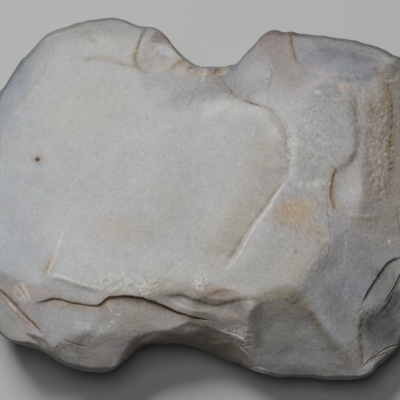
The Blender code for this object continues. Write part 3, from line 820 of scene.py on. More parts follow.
    bands: tuple = (
        # Painted shade inside the dish's right border, where its surface rolls away from the light.
        Band(((279, 122), (281, 150), (277, 178), (260, 203), (238, 238), (218, 270)), 4.4, OLIVE, 0.30,
             grain=0.10),
        Band(((272, 112), (288, 140), (290, 165), (289, 180)), 2.6, BLUE, 0.22),
        Band(((150, 106), (185, 103), (205, 97), (232, 93), (256, 98)), 5.4, GREY_SHADE, 0.38, broken=0.2,
             grain=0.3),
        # Painted highlight along the dish's top shoulder, which faces the light.
        Band(((192, 119), (225, 113), (254, 117), (269, 132)), 4.2, MILK, 0.60),
        Band(((164, 101), (190, 99), (214, 93), (238, 96), (258, 101)), 5.0, DARK_SPOT_AND_SHADE, 0.20, broken=0.2,
             grain=0.3),
        # Painted highlight along the dish's top shoulder.
        Band(((200, 115), (228, 109), (252, 112), (268, 123), (277, 142)), 3.8, CREAM_AND_HIGHLIGHT, 0.42),
        Band(((336, 214), (352, 218), (385, 216)), 1.6, BROWN, 0.30),
        Band(((292, 120), (293, 145), (291, 175), (300, 184), (328, 182)), 1.8, CREAM_AND_HIGHLIGHT, 0.40, broken=0.6),
        Band(((96, 304), (104, 303), (112, 297), (120, 290), (150, 291)), 1.3, TAN, 0.55, broken=0.4),
        Band(((40, 305), (62, 303), (94, 308)), 1.2, PEACH, 0.45, broken=0.3),
        Band(((160, 330), (176, 334), (196, 332), (214, 338)), 1.4, CRACK_SHADE, 0.25, broken=0.7),
        Band(((388, 82), (391, 108), (392, 140), (388, 190)), 1.6, BROWN, 0.40),
        Band(((136, 84), (165, 82), (200, 84), (228, 92)), 7.0, GREY_SHADE, 0.48, broken=0.3, grain=0.15),
        Band(((80, 63), (96, 59), (110, 60), (124, 66), (136, 66)), 1.5, OLIVE, 0.75, broken=0.9),
        Band(((78, 31), (90, 41), (99, 46)), 1.5, OLIVE, 0.65, broken=0.9),
        Band(((145, 30), (137, 46), (134, 60), (138, 70), (150, 74)), 2.2, OLIVE, 0.62, broken=0.7),
        Band(((5, 121), (21, 102), (44, 74), (50, 50)), 1.3, OLIVE, 0.50),
        Band(((6, 120), (1, 142), (0, 165)), 1.0, BROWN, 0.40),
        Band(((150, 42), (162, 44), (175, 49)), 0.9, BROWN, 0.50),
        Band(((150, 74), (166, 71), (178, 62), (190, 74), (213, 75), (226, 68)), 1.6, TAN, 0.75, broken=0.5),
        Band(((152, 31), (162, 38), (172, 50), (178, 60)), 1.4, TAN, 0.45),
        Band(((209, 78), (224, 91), (240, 101), (262, 106), (277, 119), (285, 140), (287, 162), (284, 180)),
             1.7, MOSS, 0.42),
        Band(((284, 180), (270, 196), (248, 228), (223, 266)), 0.9, MOSS, 0.80, broken=0.3),
        Band(((34, 305), (58, 300), (96, 306), (112, 297), (141, 298), (171, 311), (209, 321)), 3.0, RUST,
             0.40, broken=0.3),
        Band(((250, 305), (258, 299), (268, 294), (284, 292), (298, 298), (309, 310)), 3.6, MOSS, 0.80,
             broken=0.1),
        Band(((165, 292), (190, 290), (215, 292), (250, 297)), 2.6, SAND, 0.45),
        # Painted shade along the rims of the far lobe and of the blue facet, which turn away from the light.
        Band(((30, 60), (52, 42), (76, 31), (112, 25), (140, 30), (156, 40)), 5.4, GREY_SHADE, 0.52, broken=0.3),
        Band(((298, 38), (340, 44), (385, 58), (397, 84)), 3.8, GREY_SHADE, 0.85, broken=0.2),
        Band(((298, 296), (310, 311), (322, 334), (340, 351), (357, 369)), 3.4, MOSS, 0.62, broken=0.35),
        Band(((259, 297), (256, 312), (255, 330), (260, 350)), 3.0, MOSS, 0.50, broken=0.1),
        Band(((214, 301), (232, 297), (262, 296)), 0.9, BROWN, 0.45),
        Band(((365, 80), (378, 76), (388, 100), (390, 140), (386, 205)), 2.2, BROWN, 0.38),
        Band(((361, 309), (359, 326), (359, 348), (360, 371)), 2.6, MOSS, 0.55, broken=0.4),
        Band(((331, 162), (330, 186), (332, 212)), 3.0, OLIVE, 0.45, broken=0.3),
        Band(((333, 164), (332, 186), (334, 210)), 1.8, RUST, 0.50),
        Band(((300, 67), (325, 74), (352, 77), (374, 73)), 1.4, PINK, 0.30),
        Band(((350, 96), (354, 125), (353, 154), (345, 163)), 2.6, MOSS, 0.62, broken=0.3),
        Band(((300, 292), (322, 318), (340, 348)), 1.2, BLUE, 0.20),
        Band(((130, 352), (165, 340), (200, 344), (232, 356)), 3.2, BROWN, 0.30),
        Band(((268, 40), (270, 70), (268, 108)), 0.8, BROWN, 0.35),
        Band(((288, 32), (291, 50), (293, 62)), 1.4, BROWN, 0.35),
        Band(((0, 290), (16, 306), (30, 321)), 3.2, RUST, 0.28),
        Band(((2, 292), (16, 306), (30, 321)), 1.5, PEACH, 0.40),
        Band(((31, 300), (33, 320), (31, 336)), 1.1, PEACH, 0.40),
        Band(((120, 57), (160, 45), (175, 60)), 0.8, CREAM_AND_HIGHLIGHT, 0.2),
    )
    # Many stains are painted light: the near-black and grey ones darken places as painted shade, and the
    # cream and frost ones on the near side lighten places as painted highlight.
    stains: tuple = (
        Stain((293, 211), 11.0, 6.8, 12, OCHRE, 0.76, 0.9, 0.40),
        Stain((279, 214), 5.4, 4.8, 20, TAN, 0.45),
        Stain((85, 102), 27.0, 20.0, 40, PUTTY, 0.95, broken=0.4),
        Stain((66, 232), 17.0, 12.0, 80, MILK, 0.80, broken=0.3),
        Stain((24, 190), 13.0, 13.0, 10, ICE, 0.35, broken=0.3),
        Stain((16, 246), 16.0, 17.0, 0, ICE, 0.85, broken=0.3),
        Stain((88, 256), 14.0, 7.0, 4, MILK, 0.85, broken=0.3),
        Stain((215, 138), 11.0, 8.5, 30, MILK, 0.85, broken=0.3),
        Stain((128, 230), 15.5, 7.2, -6, SAND, 0.95, broken=0.5),
        Stain((172, 212), 17.0, 13.0, 20, PUTTY, 0.60, broken=0.4),
        Stain((236, 218), 9.0, 19.0, -33, SAND, 0.80, broken=0.4),
        Stain((349, 190), 5.4, 9.5, 0, MILK, 0.80),
        Stain((382, 105), 5.0, 10.0, 0, RUST, 0.35),
        Stain((312, 57), 9.0, 6.0, -78, STEEL, 0.95, 0.30, 0.1),
        Stain((352, 72), 9.6, 4.8, -8, STEEL, 0.92, 0.40, 0.1),
        Stain((354, 93), 9.5, 5.0, -10, MAUVE, 0.62),
        Stain((358, 148), 2.4, 9.5, 2, MILK, 0.45),
        Stain((369, 110), 4.0, 8.0, 0, BROWN, 0.55),
        Stain((8, 132), 13.0, 15.0, -30, GREY_SHADE, 0.24, broken=0.3),
        Stain((222, 290), 10.0, 3.2, 4, BLUSH, 0.95, 0.6, 0.3),
        Stain((203, 304), 5.0, 2.6, -20, SAND, 0.60, 0.8, 0.3),
        Stain((332, 96), 10.0, 5.2, 0, MAUVE, 0.66),
        Stain((322, 76), 7.0, 3.4, -14, MAUVE, 0.50),
        Stain((362, 128), 3.4, 12.0, 0, GREY_SHADE, 0.35, 1.0, 0.3),
        Stain((338, 312), 11.0, 7.0, -62, GREY_SHADE, 0.85, 0.9, 0.2),
        Stain((395, 300), 4.0, 8.5, -20, DARK_SPOT_AND_SHADE, 0.58),
        Stain((283, 308), 4.5, 2.6, 0, SAND, 0.30),
        Stain((300, 214), 10.5, 8.0, 40, PEACH, 0.16),
        Stain((295, 251), 0.8, 0.45, 100, BROWN, 0.9, 0.5, 0.0),
        Stain((341, 88), 2.8, 1.9, 10, PEACH, 0.80, 0.8, 0.4),
        Stain((364, 98), 5.4, 3.0, -20, PINK, 0.50),
        Stain((39.5, 159.5), 3.4, 3.2, 0, RUST, 0.80, 0.9, 0.2),
        Stain((39.5, 159.5), 1.15, 1.05, 0, DARK_SPOT_AND_SHADE, 1.0, 0.5, 0.0),
        Stain((147, 119), 0.5, 0.45, 0, BROWN, 0.8, 0.6, 0.0),
        Stain((116, 99), 0.45, 0.4, 0, BROWN, 0.6, 0.6, 0.0),
        Stain((141, 155), 0.8, 0.5, 30, WHITE, 0.8, 0.6, 0.0),
        Stain((251, 136), 0.6, 0.5, 0, WHITE, 0.9, 0.6, 0.0),
        Stain((238, 164), 0.7, 0.4, 40, WHITE, 0.7, 0.6, 0.0),
        Stain((316, 93), 1.3, 0.9, 0, WHITE, 0.80, 0.9, 0.9),
        Stain((267, 291), 0.5, 0.5, 0, WHITE, 0.95, 0.6, 0.0),
        Stain((389, 241), 0.7, 0.6, 0, WHITE, 0.8, 0.6, 0.0),
        Stain((256, 74), 8.0, 4.6, 60, BLUE, 0.30),
        Stain((184, 71), 13.0, 4.5, -6, MAUVE, 0.58),
        Stain((149, 60), 6.6, 4.6, 64, PINK, 0.50, 0.6, 0.3),
        Stain((150, 64), 5.6, 4.2, 40, MAUVE, 0.62, 0.8, 0.3),
        Stain((165, 52), 4.0, 2.1, -25, BLUE, 0.80, 0.5, 0.2),
        Stain((128, 36), 9.0, 5.0, 10, GREY_SHADE, 0.34, broken=0.3),
        Stain((176, 84), 15.0, 4.5, 0, GREY_SHADE, 0.30, broken=0.4),
        Stain((379, 150), 5.0, 23.0, 0, BLUSH, 0.55, broken=0.5, grain=0.5),
        Stain((180, 205), 5.5, 15.0, -28, OLIVE, 0.24, broken=0.4, grain=0.3),
        Stain((258, 160), 6.5, 16.0, 4, SAND, 0.55, broken=0.4),
        Stain((216, 290), 9.0, 3.0, 0, PEACH, 0.30),
        Stain((364, 262), 7.0, 8.0, 20, GREY_SHADE, 0.30),
        Stain((345, 335), 6.0, 9.0, -20, GREY_SHADE, 0.30),
        Stain((168, 308), 9.0, 3.4, -20, CREAM_AND_HIGHLIGHT, 0.30),
        Stain((180, 70), 12.0, 4.0, -6, TAN, 0.35),
        Stain((318, 70), 7.0, 3.4, -14, STEEL, 0.45),
        Stain((300, 94), 16.0, 7.0, 0, GREY_SHADE, 0.22),
        Stain((369, 108), 4.5, 7.0, 0, DARK_SPOT_AND_SHADE, 0.24),
        Stain((328, 212), 4.0, 12.0, 4, GREY_SHADE, 0.38),
        Stain((286, 292), 8.0, 3.6, 6, MOSS, 0.42),
        Stain((350, 290), 8.0, 8.5, 0, STEEL, 0.42),
        Stain((393, 277), 5.0, 8.0, -28, DARK_SPOT_AND_SHADE, 0.30),
        Stain((136, 334), 8.0, 4.5, 30, GREY_SHADE, 0.42),
        Stain((88, 329), 6.5, 4.0, -10, CREAM_AND_HIGHLIGHT, 0.34),
        Stain((186, 326), 5.5, 2.8, -15, CREAM_AND_HIGHLIGHT, 0.34),
        Stain((214, 308), 8.0, 4.0, -10, CREAM_AND_HIGHLIGHT, 0.22),
        Stain((338, 358), 10.0, 6.0, -30, GREY_SHADE, 0.55),
        Stain((308, 230), 8.0, 9.0, 20, TAN, 0.55),
        Stain((20, 291), 12.0, 4.0, -20, PEACH, 0.28),
        Stain((28, 325), 5.0, 6.0, -20, PEACH, 0.26),
        Stain((286, 306), 11.0, 5.0, 0, TAN, 0.35),
        Stain((8, 272), 10.0, 5.0, 0, STEEL, 0.20),
        Stain((343, 254), 11.0, 10.0, 0, MAUVE, 0.55, broken=0.3),
        Stain((116, 31), 15.0, 5.0, 4, DARK_SPOT_AND_SHADE, 0.26, broken=0.3),
        Stain((318, 54), 12.0, 6.0, -6, DARK_SPOT_AND_SHADE, 0.17),
        Stain((362, 58), 9.0, 5.0, -16, DARK_SPOT_AND_SHADE, 0.15),
        Stain((290, 291), 13.0, 5.4, 6, DARK_SPOT_AND_SHADE, 0.17),
        Stain((336, 366), 13.0, 4.0, 0, DARK_SPOT_AND_SHADE, 0.22),
        Stain((374, 352), 5.0, 4.0, 20, DARK_SPOT_AND_SHADE, 0.26),
        Stain((230, 328), 5.6, 3.4, -24, DARK_SPOT_AND_SHADE, 0.34),
        Stain((384, 283), 4.0, 6.0, -36, DARK_SPOT_AND_SHADE, 0.22),
        Stain((170, 286), 7.0, 2.4, -4, CREAM_AND_HIGHLIGHT, 0.50),
        Stain((188, 330), 5.6, 2.4, 8, CREAM_AND_HIGHLIGHT, 0.50),
        Stain((190, 66), 10.0, 4.0, 0, DARK_SPOT_AND_SHADE, 0.18),
        Stain((278, 122), 5.0, 5.0, 0, DARK_SPOT_AND_SHADE, 0.12),
        Stain((366, 268), 6.0, 5.0, 0, DARK_SPOT_AND_SHADE, 0.18),
        Stain((392, 345), 4.0, 5.0, 0, DARK_SPOT_AND_SHADE, 0.22),
        Stain((333, 228), 7.5, 3.6, 88, STEEL, 0.50, 0.8, 0.3),
        Stain((314, 264), 9.0, 4.0, 52, MAUVE, 0.50, 0.9, 0.4),
        Stain((336, 66), 9.0, 5.0, -12, STEEL, 0.40, 0.8, 0.3),
        Stain((290, 302), 10.0, 5.0, 0, DARK_SPOT_AND_SHADE, 0.10),
        Stain((8, 256), 9.0, 9.0, 0, DARK_SPOT_AND_SHADE, 0.07),
        Stain((30, 318), 8.0, 6.0, -20, DARK_SPOT_AND_SHADE, 0.10),
        Stain((108, 52), 12.0, 8.0, 0, DARK_SPOT_AND_SHADE, 0.07),
        Stain((322, 280), 8.0, 6.0, -30, DARK_SPOT_AND_SHADE, 0.10),
        Stain((32, 64), 9.0, 14.0, -38, DARK_SPOT_AND_SHADE, 0.10),
        Stain((66, 350), 6.0, 2.4, -20, CREAM_AND_HIGHLIGHT, 0.45),
        Stain((336, 292), 9.0, 9.0, 0, STEEL, 0.30, broken=0.3),
        Stain((100, 44), 12.0, 6.0, 0, PUTTY, 0.60),
        Stain((298, 262), 8.0, 10.0, -40, SAND, 0.40, broken=0.4),
        Stain((348, 345), 5.0, 9.0, -24, GREY_SHADE, 0.30),
        Stain((252, 78), 8.0, 6.0, 60, BLUE, 0.34),
        Stain((226, 311), 9.0, 4.0, -12, BLUSH, 0.42, broken=0.3),
        Stain((157, 238), 7.0, 8.0, -20, DARK_SPOT_AND_SHADE, 0.14, broken=0.6, grain=0.5),
        Stain((385, 74), 4.0, 4.0, 0, GREY_SHADE, 0.50),
        Stain((22, 292), 5.0, 3.0, -50, PEACH, 0.50),
        Stain((44, 344), 8.0, 2.4, -24, CREAM_AND_HIGHLIGHT, 0.55),
        Stain((98, 333), 6.5, 3.4, 40, CREAM_AND_HIGHLIGHT, 0.42),
        Stain((182, 327), 9.0, 3.0, 8, CREAM_AND_HIGHLIGHT, 0.50),
        Stain((150, 337), 6.0, 1.8, 30, CREAM_AND_HIGHLIGHT, 0.40),
        Stain((232, 328), 7.0, 3.2, -24, GREY_SHADE, 0.55),
        Stain((366, 330), 5.0, 14.0, 6, DARK_SPOT_AND_SHADE, 0.26),
        Stain((378, 275), 4.5, 8.0, -36, DARK_SPOT_AND_SHADE, 0.30),
        Stain((380, 138), 4.0, 9.0, 0, DARK_SPOT_AND_SHADE, 0.22, broken=0.4, grain=0.4),
        Stain((246, 296), 5.0, 2.2, 0, GREY_SHADE, 0.50),
        Stain((336, 220), 5.0, 2.4, 0, GREY_SHADE, 0.45),
        Stain((331, 70), 9.0, 3.6, -10, STEEL, 0.45),
        Stain((40, 292), 13.0, 3.0, -8, PEACH, 0.40, broken=0.3),
        Stain((392, 268), 3.0, 7.0, -35, RUST, 0.30),
        Stain((52, 258), 4.0, 2.6, 76, PEACH, 0.40),
        Stain((96, 326), 9.0, 3.0, -6, FROST, 0.40),
        Stain((51, 266), 6.0, 3.4, 72, RUST, 0.72, 0.9, 0.5),
        Stain((28, 338), 4.5, 2.6, -20, PEACH, 0.22),
        Stain((345, 262), 11.0, 8.0, 60, BLUE, 0.20),
        Stain((316, 268), 15.0, 8.0, 52, GREY_SHADE, 0.42, broken=0.4, grain=0.3),
        Stain((352, 352), 4.0, 7.0, 20, GREY_SHADE, 0.60),
        Stain((381, 283), 3.2, 9.5, -28, GREY_SHADE, 0.62, 0.6, 0.2),
        Stain((381, 326), 8.5, 8.0, 0, DARK_SPOT_AND_SHADE, 0.42, 0.5, 0.2),
        Stain((300, 370), 15.0, 3.5, -6, DARK_SPOT_AND_SHADE, 0.28, 1.0, 0.2),
        Stain((185, 243), 22.0, 9.0, 60, TAN, 0.07),
        # Painted shade inside the dish's right border.
        Stain((265, 164), 7.0, 16.0, 4, TAN, 0.36),
        Stain((222, 250), 8.0, 13.0, -35, OLIVE, 0.34),
        Stain((196, 238), 13.0, 12.0, 0, OLIVE, 0.24, grain=0.15),
        Stain((250, 176), 12.0, 24.0, -22, GREY_SHADE, 0.26, broken=0.3),
        Stain((160, 222), 20.0, 12.0, 10, GREY_SHADE, 0.12, broken=0.3),
        Stain((120, 200), 30.0, 22.0, 20, BLUE, 0.06),
        Stain((372, 52), 10.0, 3.0, -14, BROWN, 0.30),
        Stain((225, 350), 14.0, 5.0, -18, BROWN, 0.22),
        Stain((75, 318), 13.0, 5.0, 4, FROST, 0.16),
    )
    cracks: tuple = (
        Crack(((33, 303), (45, 299), (58, 298), (76, 301), (96, 304), (103, 301), (112, 295), (127, 294)),
              0.22, 0.08, colour=BROWN, strength=0.70, halo_strength=0.40),
        Crack(((112, 295), (127, 294), (141, 296), (153, 300), (171, 309), (189, 315), (213, 321)), 0.36,
              0.60, strength=0.92),
        Crack(((0, 286), (11, 295), (25, 311), (34, 321), (46, 335)), 0.26, 0.35, colour=BROWN, strength=0.85,
              halo_strength=0.0),
        Crack(((-2, 292), (9, 302), (22, 316), (33, 327)), 0.22, 0.22, colour=BROWN, strength=0.70,
              halo_strength=0.0),
        Crack(((401, 255), (386, 264), (372, 282), (360, 306)), 0.34, 0.5, strength=0.92),
        Crack(((403, 266), (395, 285), (385, 304)), 0.30, 0.45, strength=0.90),
        Crack(((361, 370), (372, 358), (387, 349), (402, 345)), 0.28, 0.4, strength=0.60),
        Crack(((366, 366), (378, 356), (392, 352)), 0.26, 0.3, strength=0.60),
        Crack(((330, 174), (330, 190), (332, 203), (336, 213)), 0.24, 0.2, colour=BROWN, strength=0.70),
        Crack(((206, 76), (224, 91), (240, 101), (262, 106), (277, 119), (285, 140), (287, 163)), 0.22, 0.10,
              colour=BROWN, strength=0.32, halo_strength=0.0),
        Crack(((242, 101), (254, 105), (264, 108)), 0.28, 0.20, strength=0.55),
        Crack(((386, 74), (391, 100), (392, 130), (389, 165)), 0.60, 0.15, colour=BROWN, strength=0.32),
        Crack(((395, 205), (398, 225), (402, 240)), 0.30, 0.3, colour=BROWN, strength=0.6),
        Crack(((48, 332), (47, 341), (53, 347), (60, 345), (61, 338)), 0.34, 0.10, colour=BROWN,
              strength=0.30),
    )
    grooves: tuple = (
        Crack(((62, 338), (75, 342), (90, 347)), 0.30, 0.15, colour=TAN, strength=0.4),
        Crack(((327, 197), (328, 228), (326, 257)), 0.34, 0.08, colour=MOSS, strength=0.55,
              halo_strength=0.1),
        Crack(((215, 327), (235, 333), (246, 338)), 0.25, 0.15, colour=WHITE, strength=0.4),
        Crack(((222, 338), (236, 340), (250, 347)), 0.25, 0.15, colour=WHITE, strength=0.35),
        Crack(((303, 304), (308, 312), (315, 324)), 0.40, 0.10, colour=BROWN, strength=0.30),
    )

    def work(self, sheet: Sheet) -> None:
        """Work every mark into the sheet, broad ones first."""
        for marks in (self.stains, self.ledges, self.chips, self.bands, self.crushes, self.ridges,
                      self.grooves, self.cracks):
            for mark in marks:
                mark.work(sheet)


@dataclass
class UnderMarks:
    """The plainer marks of the hidden face."""

    ledges: tuple = (
        Ledge(((37, 123), (65, 145), (69, 177), (51, 203)), Side.RIGHT, 1.0, 1.0, 13.0, shade=0.25),
        Ledge(((319, 181), (337, 206), (337, 239)), Side.RIGHT, 0.9, 1.0, 10.0, shade=0.25),
        Ledge(((160, 87), (196, 97), (233, 94)), Side.LEFT, 1.0, 1.0, 9.0, shade=0.25),
    )
    cracks: tuple = (
        Crack(((70, 240), (95, 252), (118, 270)), 0.30, 0.3, strength=0.55),
        Crack(((262, 130), (280, 145), (290, 165)), 0.30, 0.3, colour=BROWN, strength=0.5),
    )
    stains: tuple = (
        Stain((250, 240), 22.0, 14.0, 30, TAN, 0.22),
        Stain((110, 120), 16.0, 10.0, -20, PEACH, 0.14),
        Stain((330, 130), 18.0, 12.0, 60, BROWN, 0.16),
        Stain((180, 300), 14.0, 8.0, 0, OCHRE, 0.12),
    )

    def work(self, sheet: Sheet) -> None:
        """Work every mark into the sheet, broad ones first."""
        for marks in (self.stains, self.ledges, self.cracks):
            for mark in marks:
                mark.work(sheet)


@dataclass
class Board:
    """The node board of a new material."""

    name: str
    material: bpy.types.Material = field(init=False)
    shader: bpy.types.Node = field(init=False)

    def __post_init__(self) -> None:
        """Start the material with its plain shader."""
        self.material = bpy.data.materials.new(self.name)
        self.material.use_nodes = True
        self.shader = self.material.node_tree.nodes["Principled BSDF"]

    def feed(self, node: bpy.types.Node, inputs: dict) -> None:
        """Set a node's inputs, each to a value or to another node's output."""
        for name, value in inputs.items():
            if isinstance(value, bpy.types.NodeSocket):
                self.material.node_tree.links.new(value, node.inputs[name])
            else:
                node.inputs[name].default_value = value

    def add(self, kind: str, inputs: dict, **settings: str) -> bpy.types.NodeOutputs:
        """Add a node.

        Args:
            kind: Its kind, without the words ShaderNode.
            inputs: A value or another node's output for each input by name.
            settings: Its own settings, such as its operation.

        Returns:
            Its outputs, by name.
        """
        node = self.material.node_tree.nodes.new("ShaderNode" + kind)
        for name, value in settings.items():
            setattr(node, name, value)
        self.feed(node, inputs)
        return node.outputs

    def noise(self, place: Socket, scale: float, detail: float = 2.0, roughness: float = 0.5) -> Socket:
        """Return noise at a place."""
        inputs = {"Vector": place, "Scale": scale, "Detail": detail, "Roughness": roughness}
        return self.add("TexNoise", inputs)["Fac"]

    def spread(self, source: Socket, given: tuple, wanted: tuple) -> Socket:
        """Return a value carried from one range to another and kept in it."""
        names = ("From Min", "From Max", "To Min", "To Max")
        return self.add("MapRange", {"Value": source, **dict(zip(names, (*given, *wanted)))})["Result"]

    def reckon(self, operation: str, first: Socket, second: Socket | float) -> Socket:
        """Return the result of an operation on two inputs."""
        return self.add("Math", {0: first, 1: second}, operation=operation)["Value"]


@dataclass(frozen=True)
class ChertFinish:
    """The skin of weathered chert: matt, faintly waxy, coarser where bruised."""

    sheen: float = 0.35
    speck_scale: float = 1300.0
    speck_range: tuple = (0.3, 0.7)
    speck_strength: float = 0.36
    grain_scale: float = 900.0
    roughness_of_noise: float = 0.6
    scratch_turn: float = -62.0
    scratch_size: tuple = (0.0026, 0.00055, 0.0011)
    scratch_range: tuple = (0.35, 0.70)
    scratch_strength: float = 0.24
    glint_scale: float = 1500.0
    glint_size: float = 0.42
    glint_share: float = 0.40
    glint_colour: tuple = (0.88, 0.87, 0.84)
    smooth_roughness: float = 0.48
    coarse_roughness: float = 0.78
    bump_distance: float = 0.00022
    least_bump: float = 0.16

    def build(self) -> bpy.types.Material:
        """Build the node material.

        Returns:
            The material, which reads the tone and skin kept on the points.
        """
        board = Board("weathered_chert")
        place = board.add("TexCoord", {})["Object"]
        tone = board.add("Attribute", {}, attribute_name="stone_tone")["Color"]
        skin = board.add("Attribute", {}, attribute_name="stone_skin")["Color"]
        grain = board.add("SeparateColor", {"Color": skin})
        specks = board.noise(place, self.speck_scale, 3.0, self.roughness_of_noise)
        half = self.speck_strength / 2.0
        spread = board.spread(specks, self.speck_range, (1.0 - half, 1.0 + half))
        scratched = board.reckon("MULTIPLY", self.scratches(board, place), grain["Green"])
        value = board.reckon("ADD", spread, scratched)
        colour = board.add("VectorMath", {0: tone, "Scale": value}, operation="SCALE")["Vector"]
        glints = self.glints(board, place, grain["Blue"])
        mix = {"Factor": glints, "A": colour, "B": (*self.glint_colour, 1.0)}
        colour = board.add("Mix", mix, data_type="RGBA")["Result"]
        rough = board.spread(grain["Red"], (0.0, 1.0), (self.smooth_roughness, self.coarse_roughness))
        lift = board.spread(grain["Red"], (0.0, 1.0), (self.least_bump, 1.0))
        grains = board.noise(place, self.grain_scale, 4.0, self.roughness_of_noise)
        bump = board.add("Bump", {"Strength": lift, "Distance": self.bump_distance, "Height": grains})
        board.feed(board.shader, {"Base Color": colour, "Roughness": rough, "Normal": bump["Normal"],
                                  "Specular IOR Level": self.sheen})
        return board.material

    def glints(self, board: Board, place: Socket, amount: Socket) -> Socket:
        """Return where the bright crumbs of crushed stone lie."""
        crumbs = board.add("TexVoronoi", {"Scale": self.glint_scale, "Vector": place})
        pick = board.add("SeparateColor", {"Color": crumbs["Color"]})["Red"]
        small = board.reckon("LESS_THAN", crumbs["Distance"], self.glint_size)
        few = board.reckon("LESS_THAN", pick, self.glint_share)
        return board.reckon("MULTIPLY", board.reckon("MULTIPLY", small, few), amount)

    def scratches(self, board: Board, place: Socket) -> Socket:
        """Return how much paler or darker the short scratches of the coarse faces are."""
        turn = (0.0, 0.0, math.radians(self.scratch_turn))
        inputs = {"Vector": place, "Rotation": turn, "Scale": self.scratch_size}
        lines = board.noise(board.add("Mapping", inputs, vector_type="TEXTURE")["Vector"], 1.0)
        strength = self.scratch_strength
        return board.spread(lines, self.scratch_range, (-strength / 2.0, strength))


@dataclass
class StoneHoe:
    """The whole stone, one piece of knapped chert."""

    outline: Outline = field(default_factory=Outline)
    faces: Faces = field(init=False)
    upper_marks: UpperMarks = field(default_factory=UpperMarks)
    under_marks: UnderMarks = field(default_factory=UnderMarks)
    finish: ChertFinish = field(default_factory=ChertFinish)
    rim_bite: float = 0.60 * MILLIMETRE
    ball_level: int = 7
    upper_share: float = 0.78
    refined: tuple = (29000, 5600)

    def __post_init__(self) -> None:
        """Give the faces their outline."""
        self.faces = Faces(self.outline)

    def form(self, ball: np.ndarray) -> tuple:
        """Carry the points of a unit ball onto the stone.

        Args:
            ball: One row for each point of the ball.

        Returns:
            The points' places, their tone, their grain, scratches and glints,
            and how much each needs a finer mesh.
        """
        equator = 1.0 - 2.0 * self.upper_share
        upper = ball[:, 2] >= equator
        span = np.where(upper, 1.0 - ball[:, 2], 1.0 + ball[:, 2])
        share = np.sqrt(np.clip(span / np.where(upper, 1.0 - equator, 1.0 + equator), 0.0, 1.0))
        bearing = np.arctan2(ball[:, 1], ball[:, 0])
        radius = self.outline.radius(bearing)
        edge = self.faces.edge(bearing)
        rim = polar(radius, bearing)
        bites = cloud(rim, 6.0 * MILLIMETRE, 51) + 0.6 * cloud(rim, 2.6 * MILLIMETRE, 52)
        radius = radius - self.rim_bite * smooth(0.5 + 0.6 * bites) * smooth(share)
        rounding = self.faces.edge_round * (0.70 + 0.45 * cloud(rim, 8.0 * MILLIMETRE, 53))
        flat = polar(share * radius, bearing)
        solid = np.column_stack([flat, np.where(upper, 0.02, 0.0)])
        fleck = clouds(solid, 1.1 * MILLIMETRE, 2, 5)
        drift = np.stack([cloud(solid, 5.0 * MILLIMETRE, seed) for seed in (11, 12)], axis=1)
        shiver = np.stack([cloud(solid, 1.2 * MILLIMETRE, seed) for seed in (13, 14)], axis=1)
        place = flat + (0.45 * drift + 0.10 * shiver) * MILLIMETRE

        tone, skin = np.zeros((2, len(ball), 3))
        need, inner = np.zeros((2, len(ball)))
        for side, mine, marks in ((1, upper, self.upper_marks), (-1, ~upper, self.under_marks)):
            sheet = self.faces.lay(side, place[mine], solid[mine], fleck[mine])
            marks.work(sheet)
            sheet.height += self.undulation(solid[mine], sheet.grain)
            lip = self.faces.soft_least([-sheet.height, -side * edge[mine] - self.faces.edge_lip])
            inner[mine] = -side * lip
            tone[mine], need[mine] = sheet.tone, sheet.need
            skin[mine] = np.stack([sheet.grain, sheet.stroke, sheet.glint], axis=1)
        inward = np.clip((1.0 - share) * radius / rounding, 0.0, 1.0)
        worn = np.sqrt(1.0 - (1.0 - inward) ** 2)
        spot = np.column_stack([flat, edge + (inner - edge) * worn])
        self.grind_seats(spot, skin[:, 0])
        return spot, self.mottle_and_rim_shade(spot, tone, (1.0 - share) * radius), np.clip(skin, 0.0, 1.0), need

    @staticmethod
    def undulation(solid: np.ndarray, grain: np.ndarray) -> np.ndarray:
        """Return the soft waves and the grain of the flaked surface, in metres."""
        waves = 0.11 * cloud(solid, 14.0 * MILLIMETRE, 21) + 0.034 * cloud(solid, 4.5 * MILLIMETRE, 22)
        fine = (0.010 + 0.05 * np.clip(grain, 0.0, 1.0)) * clouds(solid, 1.0 * MILLIMETRE, 2, 23)
        return (waves + fine) * MILLIMETRE

    def grind_seats(self, spot: np.ndarray, grain: np.ndarray) -> None:
        """Flatten the two notch floors, as the solid has them."""
        for side in (1, -1):
            face, centre, half = self.outline.seat(side)
            beyond = (np.abs(spot[:, 0] - centre) <= half) & (spot[:, 1] * side > face * side)
            spot[beyond, 1] = face
            grain[beyond] = np.maximum(grain[beyond], 0.5)

    @staticmethod
    def mottle_and_rim_shade(spot: np.ndarray, tone: np.ndarray, inward: np.ndarray) -> np.ndarray:
        """Cloud the colour all over and paint shade towards the edge, more on the far side.

        Args:
            spot: The points' places.
            tone: Their colours so far.
            inward: How far in from the edge each is, in metres.

        Returns:
            The colours.
        """
        wide = cloud(spot, 16.0 * MILLIMETRE, 31)
        middle = clouds(spot, 4.0 * MILLIMETRE, 3, 32)
        fine = clouds(spot, 0.9 * MILLIMETRE, 2, 36)
        warm = cloud(spot, 9.0 * MILLIMETRE, 38) + 0.6 * cloud(spot, 3.0 * MILLIMETRE, 39)
        violet = cloud(spot, 7.0 * MILLIMETRE, 43) + 0.5 * cloud(spot, 2.5 * MILLIMETRE, 44)
        value = 1.0 + 0.04 * wide + 0.10 * middle + 0.10 * fine
        tint = 1.0 + np.outer(warm, [0.024, 0.004, -0.040]) + np.outer(violet, [0.008, -0.012, 0.010])
